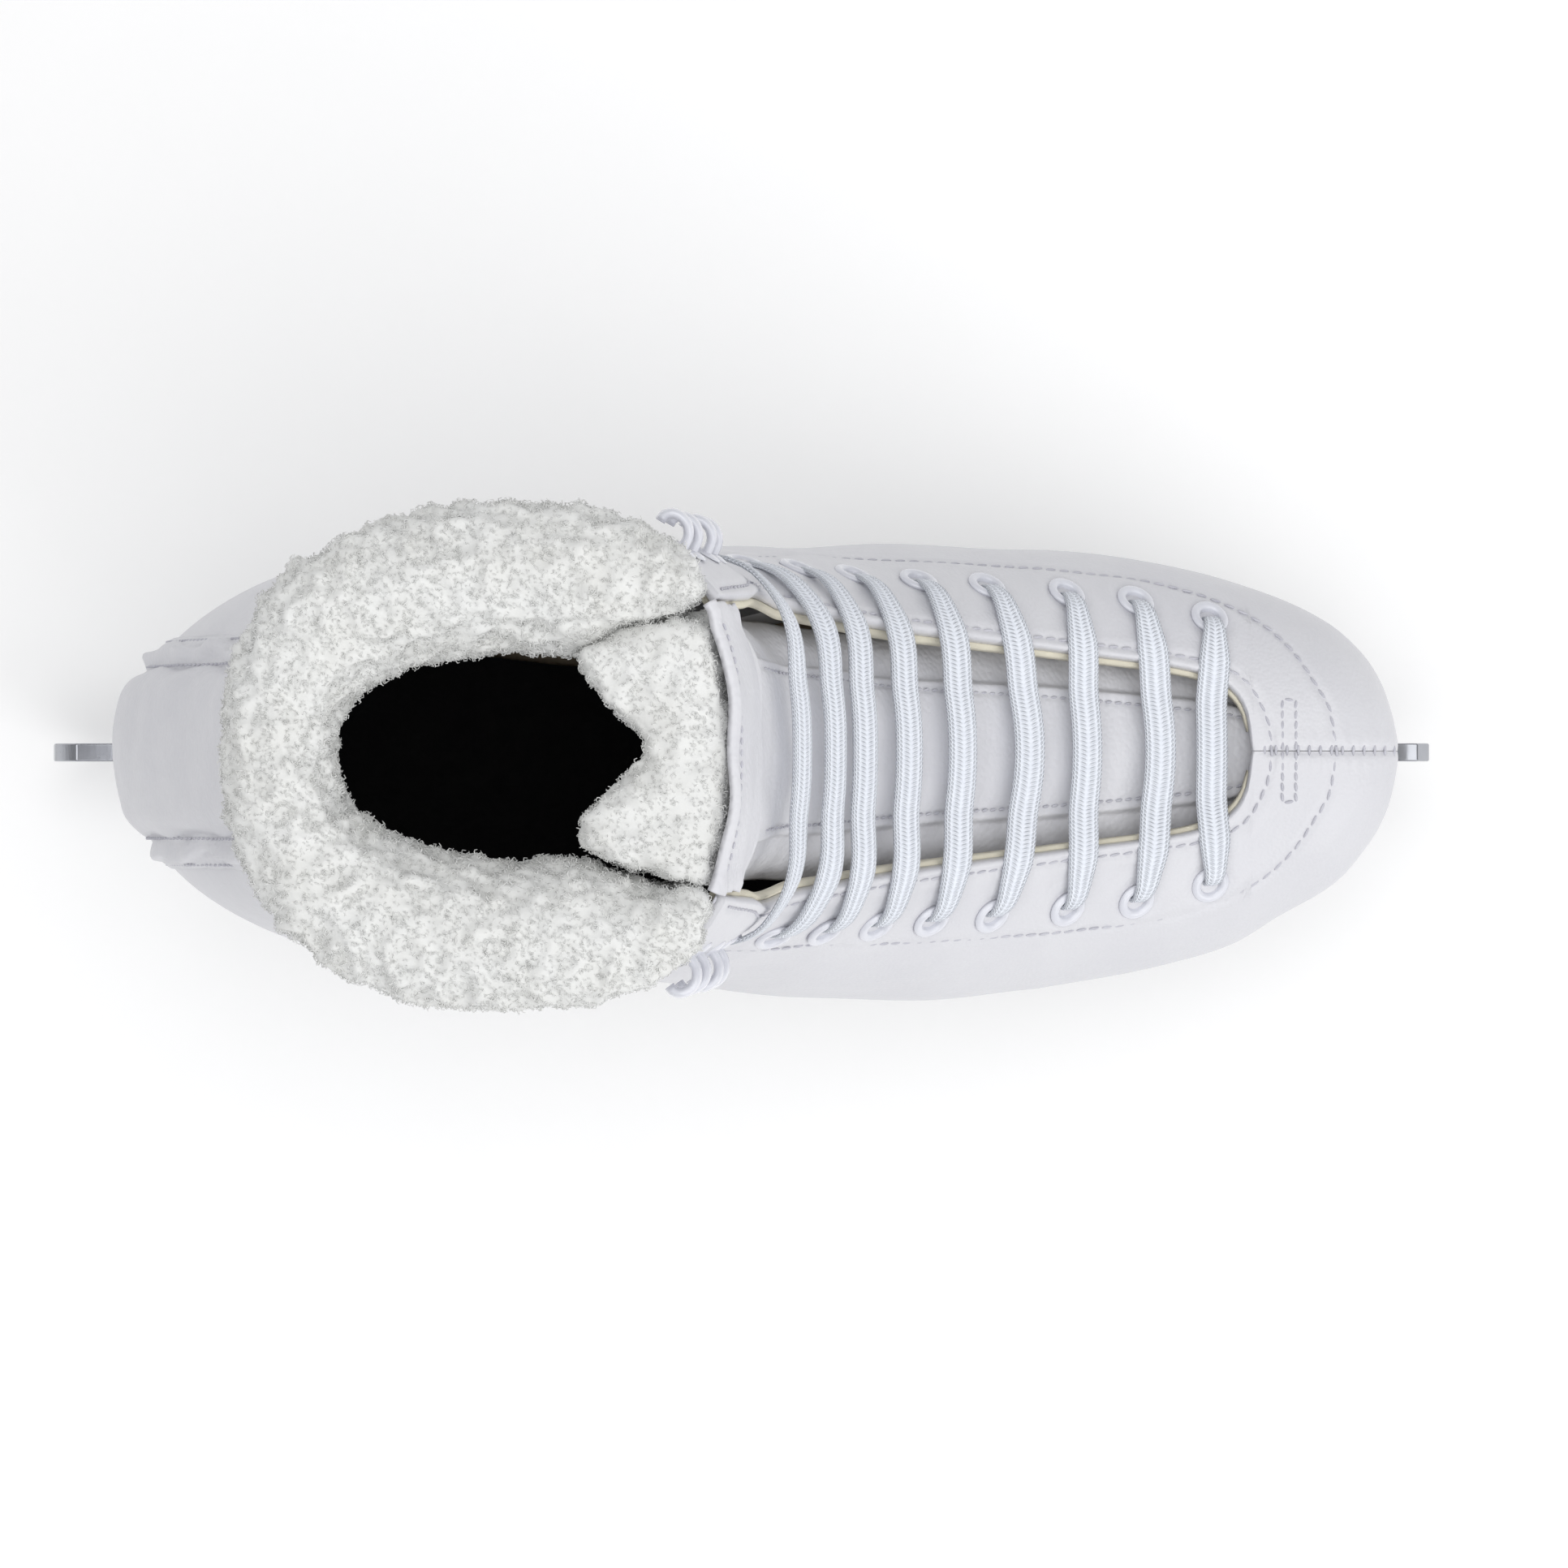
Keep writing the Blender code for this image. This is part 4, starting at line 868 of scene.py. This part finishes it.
height = height - 0.5 * hump(size, 17.2, 0.7)
height = height - 0.8 * ends * hump(size, 21, 0.5)
height = np.maximum(height, 0.3)
top = layer(gauge, v, -height)
low = layer(gauge, v, -0.15 + 0 * v)
finishPiece(sheetPiece("padded_back_panel", top, low), "tongueLeather", ["back_border", "back_pad"])
for label, offset in (("near", 17.0), ("far", 22.2)):
    for side, word in halves:
        g = np.linspace(63, 116, 160)
        v = backVAt(g, offset)
        v = v if side > 0 else 4 - v
        height = 0.35 + (0.5 if label == "near" else 0.2)
        piece = stitchRow(f"back_{word}_{label}_stitches", layer(g, v, -height + 0 * g), outward(g, v),
                          2.3, 1.6, 0.6)
        finishPiece(piece, "shadedThread")
print("back panel padded")

# Fleece
fleeceShape = dict(voxel=3.5, cap=3.0, pressure=4.0, frames=20, nodule=5.0)


# Swells a closed pad as filled cloth: each point's move is cut back to the cap, in millimetres
def swell(piece, cap):
    rest = np.empty(len(piece.data.vertices) * 3)
    piece.data.vertices.foreach_get("co", rest)
    cloth = piece.modifiers.new("cloth", "CLOTH")
    cloth.settings.use_pressure = True
    cloth.settings.uniform_pressure_force = fleeceShape["pressure"]
    cloth.settings.effector_weights.gravity = 0
    cloth.point_cache.frame_start, cloth.point_cache.frame_end = 1, fleeceShape["frames"]
    for moment in range(1, fleeceShape["frames"] + 1):
        bpy.context.scene.frame_set(moment)
    settle(piece)
    bpy.context.scene.frame_set(1)
    now = np.empty_like(rest)
    piece.data.vertices.foreach_get("co", now)
    move = (now - rest).reshape(-1, 3)
    far = np.linalg.norm(move, axis=1, keepdims=True)
    move *= np.minimum(1, cap / 1000 / np.maximum(far, 1e-9))
    piece.data.vertices.foreach_set("co", (rest.reshape(-1, 3) + move).ravel())


# A mesh's points and their normals, as two arrays
def vertexArrays(mesh):
    co = np.empty(len(mesh.vertices) * 3)
    normals = np.empty(len(mesh.vertices) * 3)
    mesh.vertices.foreach_get("co", co)
    mesh.vertex_normals.foreach_get("vector", normals)
    return co.reshape(-1, 3), normals.reshape(-1, 3)


# Fleece over a CAD pad: even faces, swollen, subdivided, then lifted along the normals in knotty
# nodules, with a reach added where one pad has to meet another
def makeFleece(cadName, name, body, cap, levels=2, height=1.5, reach=None):
    piece = refined(cadName, name=name)
    remesh = piece.modifiers.new("even", "REMESH")
    remesh.mode, remesh.voxel_size = "VOXEL", fleeceShape["voxel"] / 1000
    settle(piece)
    swell(piece, cap)
    smooth = piece.modifiers.new("smooth", "SMOOTH")
    smooth.factor, smooth.iterations = 0.5, 3
    finer = piece.modifiers.new("finer", "SUBSURF")
    finer.levels = finer.render_levels = levels
    settle(piece)
    co, normals = vertexArrays(piece.data)
    knots = ripple(co * 1000, fleeceShape["nodule"], 21)
    tight = 1 - np.abs(ripple(co * 1000, fleeceShape["nodule"] * 1.9, 23)).clip(0, 1)
    lift = height * (0.35 * np.abs(knots) + 0.8 * tight - 0.45)
    place = co * 1000 - shift
    if reach:
        lift = lift + reach(place, normals)
    piece.data.vertices.foreach_set("co", (co + normals * lift[:, None] / 1000).ravel())
    piece.data.polygons.foreach_set("use_smooth", [True] * len(piece.data.polygons))
    piece.data.update()
    finishPiece(piece, "fleece", [cadName], body)
    return piece


# Pile: a short tapered strand that rises from the face and bends over, set on random faces
def makePile(name, source, count, length, seed, body):
    dice = np.random.default_rng(seed)
    mesh = source.data
    areas = np.empty(len(mesh.polygons))
    centres, normals = np.empty(len(mesh.polygons) * 3), np.empty(len(mesh.polygons) * 3)
    mesh.polygons.foreach_get("area", areas)
    mesh.polygons.foreach_get("center", centres)
    mesh.polygons.foreach_get("normal", normals)
    pick = dice.choice(len(areas), count, p=areas / areas.sum())
    places = centres.reshape(-1, 3)[pick] * 1000 - shift
    up = unit(normals.reshape(-1, 3)[pick] + dice.normal(0, 0.35, (count, 3)))
    side = unit(np.cross(up, dice.normal(size=(count, 3))))
    axes = np.stack([side, np.cross(up, side), up], -1) * dice.uniform(0.6, 1.25, (count, 1, 1))
    t = np.linspace(0, 1, 4)
    path = np.stack([0.7 * length * t, 0.4 * length * np.sin(t * 3.6) * t,
                     length * np.sin(t * 2.4) * 0.5 - 0.25], -1)
    thick = 0.3 * (1 - 0.5 * t)
    strand = strapPoints(path, np.repeat([[0.0, 1.0, 0.0]], len(t), 0), thick, thick, 3, 1.0)
    piece = repeated(name, strand.reshape(-1, 3), gridFaces(len(t), 3, closedColumns=True), places,
                     axes)
    return finishPiece(piece, "fleece", body=body)


# Cream cut edge that shows beside the back panel's borders
gauge = np.linspace(96, 118.5, 60)[:, None]
for side, word in halves:
    y = 21.4 + np.array([0, 1.2, 2.2, 2.5])[None, :] + 0.3 * np.sin(gauge * 0.5)
    v = backVAt(gauge, y)
    v = v if side > 0 else 4 - v
    top, low = layer(gauge, v, -0.75 + 0 * v), layer(gauge, v, -0.1 + 0 * v)
    finishPiece(sheetPiece(f"back_{word}_cut_edge", top, low), "cream")

# Millimetres by which the collar's front ends press in on the tongue's wings
def collarReach(place, normals):
    inside = np.clip(-normals[:, 1] * np.sign(place[:, 1]), 0, 1)
    return 3.0 * inside * fade(place[:, 0], -52, 10) * (place[:, 2] > 240)


# Millimetres outward at the tongue's wings, and inward at its front
def wingReach(place, normals):
    side = np.clip(normals[:, 1] * np.sign(place[:, 1]), 0, 1) * fade(place[:, 2], 236, 12)
    front = np.clip(normals[:, 0], 0, 1)
    return 1.6 * side * (1 - front) - 1.6 * front


collar = makeFleece("fleece_collar", "collar_fleece", boot, fleeceShape["cap"], reach=collarReach)
topFleece = makeFleece("tongue_top_fleece", "tongue_top_fleece_pad", tongueBody, 1.5, height=1.2,
                       reach=wingReach)
makeFleece("tongue_lower_fleece", "tongue_lower_fleece_pad", boot, 0.3, 1, height=0.3,
           reach=lambda place, normals: -0.9)
for number in range(3):
    makePile(f"collar_pile_{number}", collar, 10500, 1.4, 31 + number, boot)
makePile("tongue_pile", topFleece, 10500, 1.3, 41, tongueBody)
print("fleece laid")

# The blade, its plates and the sole keep their CAD shapes, with rounded edges
screws = [f"front_plate_screw_{number}" for number in range(1, 5)]
screws += [f"rear_plate_screw_{number}" for number in range(1, 3)]
for name, bevel, look in [("blade_runner", 0.35, "steel"), ("front_stanchion", 0.6, "steel"),
                          ("rear_stanchion", 0.6, "steel"), ("front_sole_plate", 0.5, "plate"),
                          ("heel_plate", 0.5, "plate"), ("outsole", 0.6, "sole"),
                          ("heel_block", 0.6, "sole"), ("heel_top_lift", 0.5, "lift"),
                          ("forefoot_sole_block", 0.6, "sole"),
                          *((name, 0.25, "screw") for name in screws)]:
    finishPiece(refined(name, bevel), look, [name])
# The footbed takes the near-black cloth, painted shade of the deep interior
for name, look in (("footbed", "paintedShadeCloth"), ("insole_board", "board"), ("toe_puff", "board"),
                   ("heel_counter", "board"), ("steel_shank", "plate")):
    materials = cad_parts[name].data.materials
    materials.clear()
    materials.append(looks[look])
print("blade and sole finished")

# Floor and light
studio = dict(floor=14.0, world=0.44, keyPower=8.0, keySize=1.2, topPower=34.0, topSize=2.6)
floorPoints = np.array([(-1, -1), (1, -1), (1, 1), (-1, 1)], float) * studio["floor"] * 500
floor = newPiece("white_floor", np.column_stack([floorPoints, np.full(4, -0.05)]), [[0, 1, 2, 3]])
floor.data.materials.append(newMaterial("white floor", (0.93, 0.93, 0.93), (0.92, 0.92, 0.92), 0.9,
                                        glow=0.14))
world = bpy.data.worlds.new("white room")
world.use_nodes = True
world.node_tree.nodes["Background"].inputs["Color"].default_value = (0.98, 0.985, 1.0, 1)
world.node_tree.nodes["Background"].inputs["Strength"].default_value = studio["world"]
bpy.context.scene.world = world
for name, place, power, size in (("key", (1.1, -0.9, 1.0), studio["keyPower"], studio["keySize"]),
                                 ("top", (0.05, -0.05, 2.3), studio["topPower"], studio["topSize"])):
    lamp = placed(name, bpy.data.lights.new(name, "AREA"))
    lamp.data.energy, lamp.data.size = power, size
    lamp.location = place
    direction = np.array(place) - [0, 0, 0.15]
    lamp.rotation_euler = (float(np.arctan2(hypot(direction[0], direction[1]), direction[2])), 0,
                           float(atan2(direction[1], direction[0]) + pi / 2))
print("lights set")
